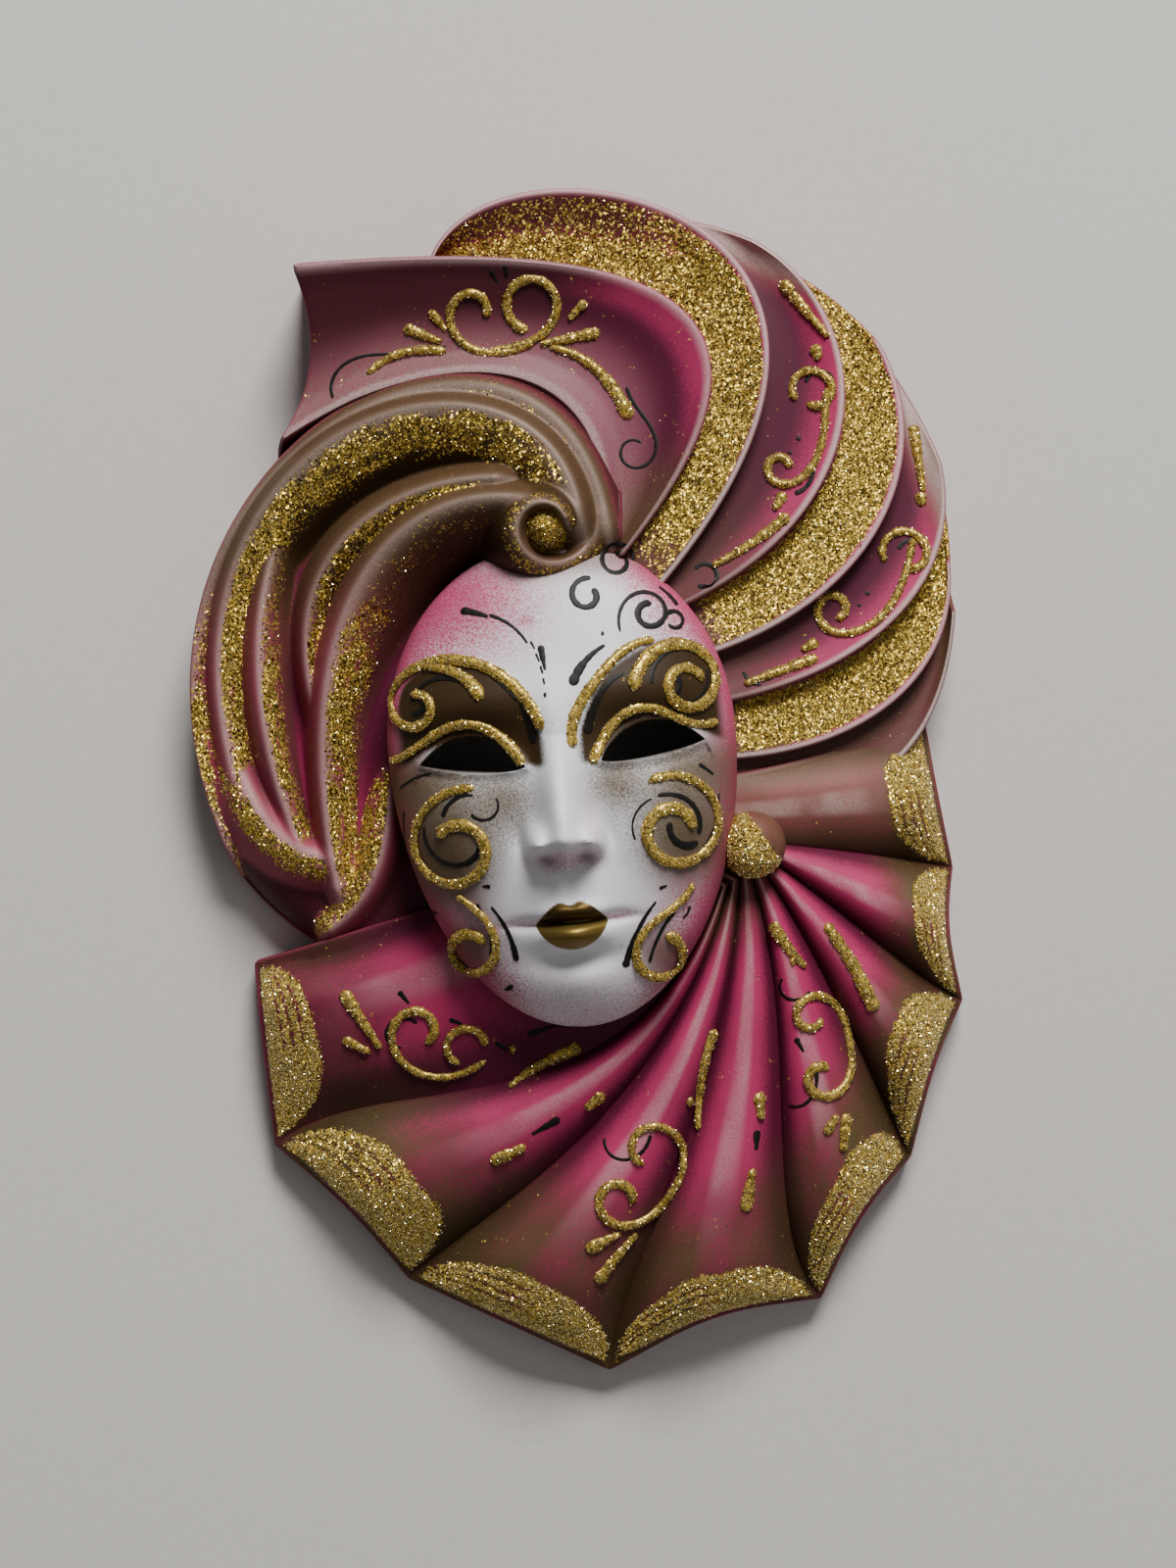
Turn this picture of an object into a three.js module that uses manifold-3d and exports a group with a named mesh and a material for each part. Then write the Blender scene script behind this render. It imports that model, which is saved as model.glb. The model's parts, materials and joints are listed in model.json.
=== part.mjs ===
// A Venetian mask for the wall: one slip-cast ceramic shell with a carnival face, a wave of
// hair, a pleated turban that fans out to the right and a pleated scalloped collar.
// Millimetres. +Z leaves the face, +Y runs to the crown, and the ground rim lies on z = 0.

import * as THREE from 'three';
import { mergeVertices } from 'three/addons/utils/BufferGeometryUtils.js';
import Module from 'manifold-3d';

const wasm = await Module();
wasm.setup();

// Driving dimensions of the casting
const WALL = 5;
const RIM_INSET = 6.5;
const BELOW_RIM = 6;
const ROOT_REACH = 0.07;
const BANNER_REACH = 0.02;

// The face is an egg in its own frame, leaning a little to the left
const FACE = {
  centre: [-1, -1.5],
  lean: THREE.MathUtils.degToRad(5.2),
  halfWidth: 43,
  widestAt: 11.5,
  toCrown: 48.5,
  toChin: 71.5,
  edgeHeight: 30,
  domeHeight: 21,
  domePower: 0.5,
};

// Soft swellings and hollows of the face: place, reach and height
const FACE_FORMS = [
  { name: 'brow left', x: -21, y: 21, rx: 15, ry: 6, h: 1.8 },
  { name: 'brow right', x: 21, y: 21, rx: 15, ry: 6, h: 1.8 },
  { name: 'socket left', x: -21, y: 10, rx: 13, ry: 7, h: -4 },
  { name: 'socket right', x: 21, y: 10, rx: 13, ry: 7, h: -4 },
  { name: 'cheek left', x: -23, y: -12, rx: 13, ry: 13, h: 2.5 },
  { name: 'cheek right', x: 23, y: -12, rx: 13, ry: 13, h: 2.5 },
  { name: 'wing left', x: -6.2, y: -14.5, rx: 4, ry: 4.5, h: 4.5 },
  { name: 'wing right', x: 6.2, y: -14.5, rx: 4, ry: 4.5, h: 4.5 },
  { name: 'philtrum', x: 0, y: -25, rx: 2.5, ry: 4, h: -0.8 },
  { name: 'muzzle', x: 0, y: -31, rx: 15, ry: 12, h: 3 },
  { name: 'upper lip', x: 0, y: -31.5, rx: 9, ry: 2.8, h: 2.2 },
  { name: 'lower lip', x: 0, y: -37.5, rx: 8, ry: 3, h: 2.8 },
  { name: 'mouth line', x: 0, y: -34.3, rx: 12, ry: 1.4, h: -1.8 },
  { name: 'under the lip', x: 0, y: -43.5, rx: 9, ry: 3.5, h: -2.2 },
  { name: 'chin', x: 0, y: -51, rx: 11, ry: 8, h: 4 },
];
const NOSE = { rootY: 12, tipY: -13.5, rootHeight: 3, tipHeight: 14, rootHalf: 4.2, tipHalf: 6 };
const EYE = { x: 22, y: 6.3, half: 13, up: 7.2, down: 1.8, tilt: THREE.MathUtils.degToRad(6.5) };

// Ridges of the turban from the outer tip to the root beside the face, each a cubic curve.
// start is the place on the ridge before it where the fold begins, swell bows its outer end.
const BANNER_LIP = { tip: [-72, 82], tipPull: [-39, 104], rootPull: [7, 111.5], root: [9, 60] };
const FOLDS = [
  {
    name: 'banner', tip: [-67.5, 126], tipPull: [-14.5, 130], rootPull: [71.5, 132.5], root: [16, 59.5],
    start: 0, swell: -6, crestTip: 31, crestRoot: 36, rise: 7,
  },
  {
    name: 'crown gold', tip: [-34, 128], tipPull: [-21, 164.5], rootPull: [97.5, 143], root: [25, 51.5],
    start: 0.18, swell: 0, crestTip: 27, crestRoot: 34, rise: 5,
  },
  {
    name: 'upper rose', tip: [45.5, 133], tipPull: [73.5, 117], rootPull: [80, 71], root: [31.5, 45],
    start: 0.48, swell: 1, crestTip: 23.5, crestRoot: 32, rise: 5,
  },
  {
    name: 'middle gold', tip: [76.5, 108], tipPull: [89.5, 86], rootPull: [82.5, 49.5], root: [38, 32.5],
    start: 0.1, swell: 1.5, crestTip: 20.5, crestRoot: 30, rise: 4.5,
  },
  {
    name: 'middle rose', tip: [92, 79], tipPull: [98.5, 50], rootPull: [75.5, 28], root: [40.5, 20],
    start: 0.06, swell: 1, crestTip: 18, crestRoot: 28, rise: 4.5,
  },
  {
    name: 'lower gold', tip: [94.5, 53.5], tipPull: [96.5, 25.5], rootPull: [73, 8], root: [41.5, 5.5],
    start: 0.1, swell: 0.5, crestTip: 16, crestRoot: 26, rise: 4,
  },
  {
    name: 'lower rose', tip: [96, 41.5], tipPull: [93, 1], rootPull: [68.5, -9], root: [42, -3.5],
    start: 0.05, swell: 0, crestTip: 14, crestRoot: 24, rise: 3.5,
  },
];

// Cross profiles of the folds: across runs from the ridge before (0) to the fold's own ridge (1)
const FOLD_PROFILE = [
  { across: -0.2, lift: 0 },
  { across: 0.12, lift: 0.02 },
  { across: 0.4, lift: 0.14 },
  { across: 0.65, lift: 0.4 },
  { across: 0.86, lift: 0.76 },
  { across: 1, lift: 1 },
];
const BANNER_PROFILE = [
  { across: -0.5, lift: -1.5 },
  { across: -0.13, lift: -1.5 },
  { across: -0.04, lift: -0.5 },
  { across: 0.0, lift: 0.45 },
  { across: 0.06, lift: 0.42 },
  { across: 0.25, lift: 0 },
  { across: 0.55, lift: 0.12 },
  { across: 0.85, lift: 0.6 },
  { across: 1, lift: 1 },
];

// Locks of hair: the crest line runs from the root by the curl to the tip. outside is the steep
// flank away from the face, the inner flank falls slowly towards the face.
const LOCKS = [
  {
    name: 'outer lock', root: [9, 62], rootPull: [-5, 138.5], tipPull: [-127, 76.5], tip: [-87.5, -15],
    outside: 1.5, insideRoot: 6, insideMid: 10, insideTip: 8, crestRoot: 36, crestMid: 27, crestTip: 13, fall: 6,
  },
  {
    name: 'second lock', root: [2, 66], rootPull: [-9, 118], tipPull: [-116, 88], tip: [-80, -11.5],
    outside: 1.5, insideRoot: 6, insideMid: 13, insideTip: 7, crestRoot: 42, crestMid: 32, crestTip: 18, fall: 8,
  },
  {
    name: 'split lock', root: [-61, 76], rootPull: [-83, 56.5], tipPull: [-80.5, 8], tip: [-64, -23],
    outside: 1.5, insideRoot: 3, insideMid: 6, insideTip: 2, crestRoot: 29, crestMid: 29, crestTip: 19, fall: 6,
  },
  {
    name: 'thin lock', root: [-18.5, 73], rootPull: [-43.5, 73], tipPull: [-74.5, 56], tip: [-62.5, 15.5],
    outside: 1.5, insideRoot: 5, insideMid: 8, insideTip: 2, crestRoot: 43, crestMid: 36, crestTip: 25, fall: 8,
  },
  {
    name: 'inner lock', root: [-10, 67.5], rootPull: [-46, 73], tipPull: [-70, 37], tip: [-58, -26.5],
    outside: 1.5, insideRoot: 6, insideMid: 10, insideTip: 7, crestRoot: 47, crestMid: 39, crestTip: 22, fall: 9,
  },
  {
    name: 'end lock', root: [-53.5, 8], rootPull: [-48, -16], tipPull: [-50, -30.5], tip: [-59.5, -35.5],
    outside: 4, insideRoot: 2, insideMid: 2.5, insideTip: 2, crestRoot: 27, crestMid: 25, crestTip: 17, fall: 5,
  },
];
const LOCK_PROFILE = [
  { side: -1, drop: 1 },
  { side: -0.5, drop: 0.3 },
  { side: 0, drop: 0 },
  { side: 0.22, drop: 0.1 },
  { side: 0.48, drop: 0.36 },
  { side: 0.75, drop: 0.7 },
  { side: 1, drop: 1 },
];
const HAIR_BED = {
  outer: { tip: [12, 82], tipPull: [-23, 136], rootPull: [-128.5, 69], root: [-83, -23.5] },
  inner: { tip: [18, 50], tipPull: [-37, 57], rootPull: [-36, 23], root: [-34, -50] },
  heightOut: 13,
  heightIn: 26,
  heightEnd: 16.5,
  endSwell: 9,
};
const CURL = { x: -4.5, y: 59.5, radius: 9.5, top: 51 };

// Creases of the collar from the pointed tip at the edge to the root by the ball.
// scallop draws the edge in between a tip and the next one.
const CREASES = [
  { tip: [89, 14], tipPull: [75, 9], rootPull: [58, 3], root: [40, 0], scallop: 0.5 },
  { tip: [96, -22.5], tipPull: [78.5, -19], rootPull: [63.5, -17.5], root: [47.5, -16], scallop: 2.5 },
  { tip: [98.5, -56], tipPull: [82, -47], rootPull: [65, -30], root: [47.5, -19], scallop: 2 },
  { tip: [85.5, -95.5], tipPull: [73.5, -70.5], rootPull: [61, -41], root: [46.5, -21], scallop: 3 },
  { tip: [63, -131], tipPull: [46.5, -112], rootPull: [58.5, -63], root: [44.5, -23], scallop: 4.5 },
  { tip: [10, -149], tipPull: [14.5, -117], rootPull: [40, -80.5], root: [42, -24.5], scallop: 0.5 },
  { tip: [-40.5, -126], tipPull: [-20, -107.5], rootPull: [26.5, -82.5], root: [39.5, -26], scallop: 2 },
  { tip: [-74, -92.5], tipPull: [-49.5, -70.5], rootPull: [15.5, -92.5], root: [37, -27.5], scallop: 0 },
  { tip: [-79, -47], tipPull: [-58, -41], rootPull: [-30, -30], root: [14.5, -22], scallop: 0 },
];
// Along a pleat from the edge to the root: height of the creases and of the pleat over them
const PLEAT_RUN = [
  { along: 0, crease: 7, pleat: 4 },
  { along: 0.03, crease: 7.5, pleat: 7.5 },
  { along: 0.08, crease: 9, pleat: 9.5 },
  { along: 0.16, crease: 11.5, pleat: 10 },
  { along: 0.28, crease: 14.5, pleat: 8.5 },
  { along: 0.42, crease: 17.5, pleat: 7 },
  { along: 0.58, crease: 20, pleat: 5.5 },
  { along: 0.74, crease: 22, pleat: 4 },
  { along: 0.88, crease: 23.5, pleat: 3 },
  { along: 1, crease: 24.5, pleat: 2 },
];
const BALL = { x: 45, y: -16.5, z: 29, radius: 8.3 };

function mix(a, b, t) {
  return a + (b - a) * t;
}

function threeStep(first, middle, last, t) {
  return t < 0.5 ? mix(first, middle, 2 * t) : mix(middle, last, 2 * t - 1);
}

function curvePoint(curve, t) {
  const a = (1 - t) ** 3;
  const b = 3 * t * (1 - t) ** 2;
  const c = 3 * t * t * (1 - t);
  const d = t ** 3;
  const along = (i) => a * curve.tip[i] + b * curve.tipPull[i] + c * curve.rootPull[i] + d * curve.root[i];
  return new THREE.Vector2(along(0), along(1));
}

function asSolid(geometry) {
  const bare = geometry.clone();
  bare.deleteAttribute('normal');
  bare.deleteAttribute('uv');
  const merged = mergeVertices(bare, 1e-4);
  const mesh = new wasm.Mesh({
    numProp: 3,
    vertProperties: Float32Array.from(merged.attributes.position.array),
    triVerts: Uint32Array.from(merged.index.array),
  });
  return new wasm.Manifold(mesh);
}

// A closed block: a grid of top points, walls straight down from its edge and a flat base
function block(top, base) {
  const rows = top.length - 1;
  const cols = top[0].length - 1;
  const flat = top.flat();
  const count = flat.length;
  const positions = [];
  flat.forEach((p) => positions.push(p.x, p.y, p.z));
  flat.forEach((p) => positions.push(p.x, p.y, base));
  const at = (i, j) => i * (cols + 1) + j;
  const triangles = [];
  for (let i = 0; i < rows; i += 1) {
    for (let j = 0; j < cols; j += 1) {
      const [a, b, c, d] = [at(i, j), at(i + 1, j), at(i + 1, j + 1), at(i, j + 1)];
      triangles.push(a, b, c, a, c, d);
      triangles.push(a + count, c + count, b + count, a + count, d + count, c + count);
    }
  }
  const edge = [];
  for (let i = 0; i < rows; i += 1) edge.push(at(i, 0));
  for (let j = 0; j < cols; j += 1) edge.push(at(rows, j));
  for (let i = rows; i > 0; i -= 1) edge.push(at(i, cols));
  for (let j = cols; j > 0; j -= 1) edge.push(at(0, j));
  edge.forEach((a, n) => {
    const b = edge[(n + 1) % edge.length];
    triangles.push(a, a + count, b + count, a, b + count, b);
  });
  let area = 0;
  edge.forEach((a, n) => {
    const b = edge[(n + 1) % edge.length];
    area += positions[3 * a] * positions[3 * b + 1] - positions[3 * b] * positions[3 * a + 1];
  });
  if (area < 0) triangles.reverse();
  const geometry = new THREE.BufferGeometry();
  geometry.setAttribute('position', new THREE.Float32BufferAttribute(positions, 3));
  geometry.setIndex(triangles);
  return asSolid(geometry);
}

// Draws a plan point in towards the middle of the object, for the hollow behind
function drawnIn(x, y, z) {
  const reach = Math.hypot(x, y);
  const keep = 1 - RIM_INSET / Math.max(reach, 40);
  return new THREE.Vector3(x * keep, y * keep, z);
}

function grid(rowValues, colValues, point) {
  return rowValues.map((r) => colValues.map((c) => point(r, c)));
}

function spaced(count, from = 0, to = 1) {
  return Array.from({ length: count + 1 }, (_, i) => mix(from, to, i / count));
}

function foldPoint(index, u, across) {
  const fold = FOLDS[index];
  const before = index ? FOLDS[index - 1] : BANNER_LIP;
  const t = u * (1 + (index ? ROOT_REACH : BANNER_REACH));
  const outer = curvePoint(fold, t);
  const inner = curvePoint(before, fold.start + (1 - fold.start) * t);
  const width = outer.clone().sub(inner);
  const out = new THREE.Vector2(-width.y, width.x).normalize();
  const bow = fold.swell * 4 * across * (1 - across) * Math.max(0, 1 - 6 * u);
  return inner.addScaledVector(width, across).addScaledVector(out, across > 0 ? bow : 0);
}

function foldCrest(fold, u) {
  return mix(fold.crestTip, fold.crestRoot, u);
}

function foldBlock(index, hollow) {
  const fold = FOLDS[index];
  const profile = index ? FOLD_PROFILE : BANNER_PROFILE;
  const rise = (u) => fold.rise * mix(1, 0.45, u);
  if (hollow) {
    const across = index ? [-0.2, 0.5, 1] : [0.3, 0.65, 1];
    return block(grid(spaced(9, 0.12, 1), across, (u, c) => {
      const p = foldPoint(index, u, c);
      return drawnIn(p.x, p.y, foldCrest(fold, u) - rise(u) - WALL);
    }), -2 * BELOW_RIM - index);
  }
  return block(grid(spaced(20), profile, (u, row) => {
    const p = foldPoint(index, u, row.across);
    const z = foldCrest(fold, u) - rise(u) * (1 - row.lift);
    return new THREE.Vector3(p.x, p.y, z);
  }), -BELOW_RIM - 0.37 * index);
}

function lockBlock(lock, index) {
  const curve = { tip: lock.root, tipPull: lock.rootPull, rootPull: lock.tipPull, root: lock.tip };
  return block(grid(spaced(18), LOCK_PROFILE, (u, row) => {
    const here = curvePoint(curve, u);
    const ahead = curvePoint(curve, u + 0.001).sub(here).normalize();
    const inside = threeStep(lock.insideRoot, lock.insideMid, lock.insideTip, u);
    const crest = threeStep(lock.crestRoot, lock.crestMid, lock.crestTip, u);
    const off = row.side * (row.side < 0 ? lock.outside : inside);
    return new THREE.Vector3(here.x - ahead.y * off, here.y + ahead.x * off, crest - lock.fall * row.drop);
  }), -BELOW_RIM - 3 - 0.41 * index);
}

function hairBed(hollow) {
  const across = hollow ? [0.06, 0.3, 0.6, 0.86] : spaced(5);
  return block(grid(spaced(16), across, (u, c) => {
    const from = curvePoint(HAIR_BED.outer, u);
    const to = curvePoint(HAIR_BED.inner, u);
    const p = from.clone().lerp(to, c);
    const run = to.sub(from).normalize();
    const bow = HAIR_BED.endSwell * 4 * c * (1 - c) * Math.max(0, 5 * u - 4);
    p.addScaledVector(new THREE.Vector2(run.y, -run.x), bow);
    const end = THREE.MathUtils.smoothstep(u, 0.62, 1);
    const high = mix(HAIR_BED.heightIn, HAIR_BED.heightEnd, end);
    const z = mix(HAIR_BED.heightOut, high, c ** 0.6);
    return hollow ? drawnIn(p.x, p.y, z - WALL) : new THREE.Vector3(p.x, p.y, z);
  }), hollow ? -4 * BELOW_RIM : -BELOW_RIM - 5);
}

// The curl on the forehead: a round boss with a ring groove and a raised middle
function curlBlock() {
  const r = CURL.radius;
  const profile = [
    [0, -BELOW_RIM - 6], [r, -BELOW_RIM - 6], [r, CURL.top - 9], [0.97 * r, CURL.top - 4],
    [0.82 * r, CURL.top - 1.5], [0.64 * r, CURL.top - 0.8], [0.5 * r, CURL.top - 2.6],
    [0.36 * r, CURL.top - 0.6], [0.18 * r, CURL.top], [0, CURL.top],
  ];
  const lathe = new THREE.LatheGeometry(profile.map(([x, y]) => new THREE.Vector2(x, y)), 24);
  lathe.rotateX(Math.PI / 2);
  lathe.translate(CURL.x, CURL.y, 0);
  return asSolid(lathe);
}

// The ball at the neck: a round top on a straight foot
function ballBlock() {
  const profile = [new THREE.Vector2(0, -BELOW_RIM - 9)];
  spaced(7).forEach((t) => {
    const angle = (Math.PI / 2) * t;
    const out = BALL.radius * Math.cos(angle);
    profile.push(new THREE.Vector2(t < 1 ? out : 0, BALL.z + BALL.radius * Math.sin(angle)));
  });
  profile.splice(1, 0, new THREE.Vector2(BALL.radius, -BELOW_RIM - 9));
  const lathe = new THREE.LatheGeometry(profile, 20);
  lathe.rotateX(Math.PI / 2);
  lathe.translate(BALL.x, BALL.y, 0);
  return asSolid(lathe);
}

function pleatPoint(index, u, across) {
  const first = CREASES[index];
  const second = CREASES[index + 1];
  const p = curvePoint(first, u).lerp(curvePoint(second, u), across);
  const inward = (row) => curvePoint(row, 0.12).sub(curvePoint(row, 0)).normalize();
  const draw = inward(first).lerp(inward(second), across).normalize();
  return p.addScaledVector(draw, first.scallop * Math.sin(Math.PI * across) * (1 - u) ** 5);
}

function collarBlock(hollow) {
  const runs = hollow ? [PLEAT_RUN[0], PLEAT_RUN[3], PLEAT_RUN[5], PLEAT_RUN[7], PLEAT_RUN[9]] : PLEAT_RUN;
  const steps = hollow ? 2 : 7;
  const pleats = CREASES.length - 1;
  const columns = hollow ? spaced(pleats * steps, 0.15, pleats - 0.35) : spaced(pleats * steps, 0, pleats);
  return block(grid(runs, columns, (run, column) => {
    const index = Math.min(Math.floor(column + 1e-6), pleats - 1);
    const across = Math.max(0, column - index);
    const p = pleatPoint(index, run.along, across);
    if (hollow) return drawnIn(p.x, p.y, Math.max(2, run.crease - WALL + 1));
    const round = index < pleats - 1 ? Math.sin(Math.PI * across) ** 0.8 : Math.sin(2.2 * across) ** 0.8;
    return new THREE.Vector3(p.x, p.y, run.crease + run.pleat * round);
  }), hollow ? -5 * BELOW_RIM : -BELOW_RIM - 7);
}

function bump(form, x, y) {
  return form.h * Math.exp(-(((x - form.x) / form.rx) ** 2) - ((y - form.y) / form.ry) ** 2);
}

// The nose is a ridge that grows to the tip and is cut under by a short slope
function noseHeight(x, y) {
  const along = (NOSE.rootY - y) / (NOSE.rootY - NOSE.tipY);
  const inside = Math.min(1, Math.max(0, along));
  const above = along < 0 ? Math.exp(-((along / 0.45) ** 2)) : 1;
  const below = along > 1 ? Math.exp(-(((along - 1) / 0.16) ** 2)) : 1;
  const half = mix(NOSE.rootHalf, NOSE.tipHalf, inside);
  const height = mix(NOSE.rootHeight, NOSE.tipHeight, inside ** 1.1);
  return height * above * below * Math.exp(-((x / half) ** 2));
}

function faceHeight(x, y, rho) {
  const dome = FACE.domeHeight * Math.max(0, 1 - rho * rho) ** FACE.domePower;
  const fade = Math.min(1, 4 * (1 - rho));
  const forms = FACE_FORMS.reduce((sum, form) => sum + bump(form, x, y), 0);
  return FACE.edgeHeight + dome + fade * (forms + noseHeight(x, y));
}

function fromFace(x, y, z) {
  const [c, s] = [Math.cos(FACE.lean), Math.sin(FACE.lean)];
  return new THREE.Vector3(FACE.centre[0] + c * x - s * y, FACE.centre[1] + s * x + c * y, z);
}

// Rings of the egg from the middle to the contour, closed to a solid with a flat base
function eggSolid(rings, sectors, base, height) {
  const positions = [];
  const triangles = [];
  const middle = fromFace(0, FACE.widestAt, height(0, FACE.widestAt, 0));
  positions.push(middle.x, middle.y, middle.z);
  for (let i = 1; i <= rings + 1; i += 1) {
    const rho = Math.sin((Math.PI / 2) * Math.min(1, i / rings) ** 0.85);
    for (let j = 0; j < sectors; j += 1) {
      const angle = (2 * Math.PI * j) / sectors;
      const reach = Math.sin(angle) > 0 ? FACE.toCrown : FACE.toChin;
      const x = FACE.halfWidth * rho * Math.cos(angle);
      const y = FACE.widestAt + reach * rho * Math.sin(angle);
      const p = height(x, y, rho);
      const q = p.isVector3 ? p : fromFace(x, y, p);
      positions.push(q.x, q.y, i > rings ? base : q.z);
    }
  }
  positions.push(middle.x, middle.y, base);
  const at = (i, j) => 1 + (i - 1) * sectors + (j % sectors);
  const last = positions.length / 3 - 1;
  for (let j = 0; j < sectors; j += 1) {
    triangles.push(0, at(1, j), at(1, j + 1));
    triangles.push(last, at(rings + 1, j + 1), at(rings + 1, j));
    for (let i = 1; i <= rings; i += 1) {
      triangles.push(at(i, j), at(i + 1, j), at(i + 1, j + 1));
      triangles.push(at(i, j), at(i + 1, j + 1), at(i, j + 1));
    }
  }
  const geometry = new THREE.BufferGeometry();
  geometry.setAttribute('position', new THREE.Float32BufferAttribute(positions, 3));
  geometry.setIndex(triangles);
  return asSolid(geometry);
}

function faceBlock() {
  return eggSolid(23, 50, -BELOW_RIM - 8, faceHeight);
}

function faceHollow() {
  const keep = 1 - WALL / FACE.halfWidth;
  return eggSolid(10, 28, -6 * BELOW_RIM, (x, y, rho) => {
    const dome = (FACE.domeHeight - 2) * Math.max(0, 1 - rho * rho) ** FACE.domePower;
    const nose = 0.35 * noseHeight(x, y);
    const z = FACE.edgeHeight - WALL - 2 + dome + nose;
    const drawn = FACE.widestAt + (y - FACE.widestAt) * keep;
    return rho === 0 ? z : fromFace(x * keep, drawn, z);
  });
}

// An almond opening through the face
function eyeSolid(side) {
  const outline = [];
  const upper = new THREE.CubicBezierCurve(
    new THREE.Vector2(-EYE.half, 0),
    new THREE.Vector2(-0.6 * EYE.half, EYE.up * 1.2),
    new THREE.Vector2(0.4 * EYE.half, EYE.up * 1.5),
    new THREE.Vector2(EYE.half, 0),
  );
  const lower = new THREE.CubicBezierCurve(
    new THREE.Vector2(EYE.half, 0),
    new THREE.Vector2(0.4 * EYE.half, -EYE.down * 1.3),
    new THREE.Vector2(-0.4 * EYE.half, -EYE.down * 1.3),
    new THREE.Vector2(-EYE.half, 0),
  );
  upper.getPoints(9).slice(0, -1).forEach((p) => outline.push(p));
  lower.getPoints(7).slice(0, -1).forEach((p) => outline.push(p));
  const [c, s] = [Math.cos(EYE.tilt), Math.sin(EYE.tilt)];
  const placed = outline.map((p) => {
    const q = fromFace(side * (EYE.x + c * p.x - s * p.y), EYE.y + s * p.x + c * p.y, 0);
    return new THREE.Vector2(q.x, q.y);
  });
  const cutter = new THREE.ExtrudeGeometry(new THREE.Shape(placed), { depth: 90, bevelEnabled: false });
  cutter.translate(0, 0, -10);
  return asSolid(cutter);
}

function join(solids) {
  return solids.reduce((sum, solid) => sum.add(solid));
}

const outside = join([
  ...FOLDS.map((_, index) => foldBlock(index, false)),
  hairBed(false),
  ...LOCKS.map((lock, index) => lockBlock(lock, index)),
  curlBlock(),
  collarBlock(false),
  faceBlock(),
  ballBlock(),
]);
const hollow = join([
  ...FOLDS.map((_, index) => foldBlock(index, true)),
  hairBed(true),
  collarBlock(true),
  faceHollow(),
]);
const ground = new THREE.BoxGeometry(500, 500, 60);
ground.translate(0, 0, -30);

const shell = outside
  .subtract(hollow)
  .subtract(eyeSolid(-1))
  .subtract(eyeSolid(1))
  .subtract(asSolid(ground))
  .simplify(0.03);

const cast = shell.getMesh();
const geometry = new THREE.BufferGeometry();
geometry.setAttribute('position', new THREE.BufferAttribute(Float32Array.from(cast.vertProperties), 3));
geometry.setIndex(new THREE.BufferAttribute(Uint32Array.from(cast.triVerts), 1));
geometry.computeBoundingBox();
const middle = geometry.boundingBox.getCenter(new THREE.Vector3());
geometry.translate(-middle.x, -middle.y, 0);
geometry.computeVertexNormals();

const mask = new THREE.Mesh(
  geometry,
  new THREE.MeshStandardMaterial({ name: 'painted_ceramic', color: '#a8486a', roughness: 0.7, metalness: 0 }),
);
mask.name = 'mask_shell';

const part = new THREE.Group();
part.name = 'venetian_mask';
part.add(mask);

export default part;
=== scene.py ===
"""A painted ceramic Venetian wall mask, laid out as an add-on that builds on its CAD frame.

The tables hold millimetres in the casting's own plan: +X to the side of the ball, +Y to the
crown, +Z out of the face, with the ground back rim on z = 0. Meshes are made in metres.
"""

import json
import math
from collections import namedtuple
from functools import lru_cache

import bpy
import numpy as np
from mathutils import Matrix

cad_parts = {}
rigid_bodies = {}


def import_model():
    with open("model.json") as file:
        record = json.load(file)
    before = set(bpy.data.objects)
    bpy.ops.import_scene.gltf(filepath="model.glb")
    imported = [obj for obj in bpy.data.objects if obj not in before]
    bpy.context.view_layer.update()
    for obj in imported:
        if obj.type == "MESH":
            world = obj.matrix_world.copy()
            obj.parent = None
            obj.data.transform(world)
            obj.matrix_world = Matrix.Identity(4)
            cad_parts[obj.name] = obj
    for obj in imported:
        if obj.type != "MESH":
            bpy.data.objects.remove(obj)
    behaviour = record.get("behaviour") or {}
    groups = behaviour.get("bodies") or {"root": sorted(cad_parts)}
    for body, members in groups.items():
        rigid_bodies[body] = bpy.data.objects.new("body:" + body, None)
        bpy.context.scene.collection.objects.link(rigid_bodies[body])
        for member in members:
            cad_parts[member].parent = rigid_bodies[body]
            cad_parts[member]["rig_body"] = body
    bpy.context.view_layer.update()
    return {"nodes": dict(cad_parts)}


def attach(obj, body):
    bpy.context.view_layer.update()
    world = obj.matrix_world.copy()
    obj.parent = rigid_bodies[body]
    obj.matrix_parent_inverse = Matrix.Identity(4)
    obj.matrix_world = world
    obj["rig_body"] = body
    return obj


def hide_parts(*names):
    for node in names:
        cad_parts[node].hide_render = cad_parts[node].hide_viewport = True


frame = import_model()

bl_info = {
    "name": "Venetian wall mask",
    "version": (1, 0, 0),
    "blender": (4, 5, 0),
    "location": "3D View > Sidebar > Mask",
    "description": "Builds a painted ceramic Venetian wall mask on its CAD frame",
    "category": "Add Mesh",
}

NODE = "mask_shell"
BODY = frame["nodes"][NODE]["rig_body"]
MM = 0.001
SEED = 8178

# The casting's plan is moved by this much so that its box is centred on the origin
CENTRING = np.array([-0.975, 2.088])

# Masks of the airbrushed paints and finishes, one value for each point of a piece. Some of them
# also carry painted shade and painted highlights, as marked where they are made
PAINTS = ("deep", "pale", "white", "bronze", "umber", "lip", "gold")

# The slip-cast wall and the ground rim
WALL = 5.0
RIM_INSET = 6.5
LEAST_REACH = 40.0
UNDER_RIM = -8.0
SKIRT, SKIRT_Z = 1.12, 14.0
# The rims stand a little apart in height, so that no two faces share a plane
RIMS = {"turban": 0.0, "hair": 0.05, "collar": 0.1, "face": 0.15}
ROOT_REACH = 0.045
BANNER_REACH = 0.02

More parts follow.
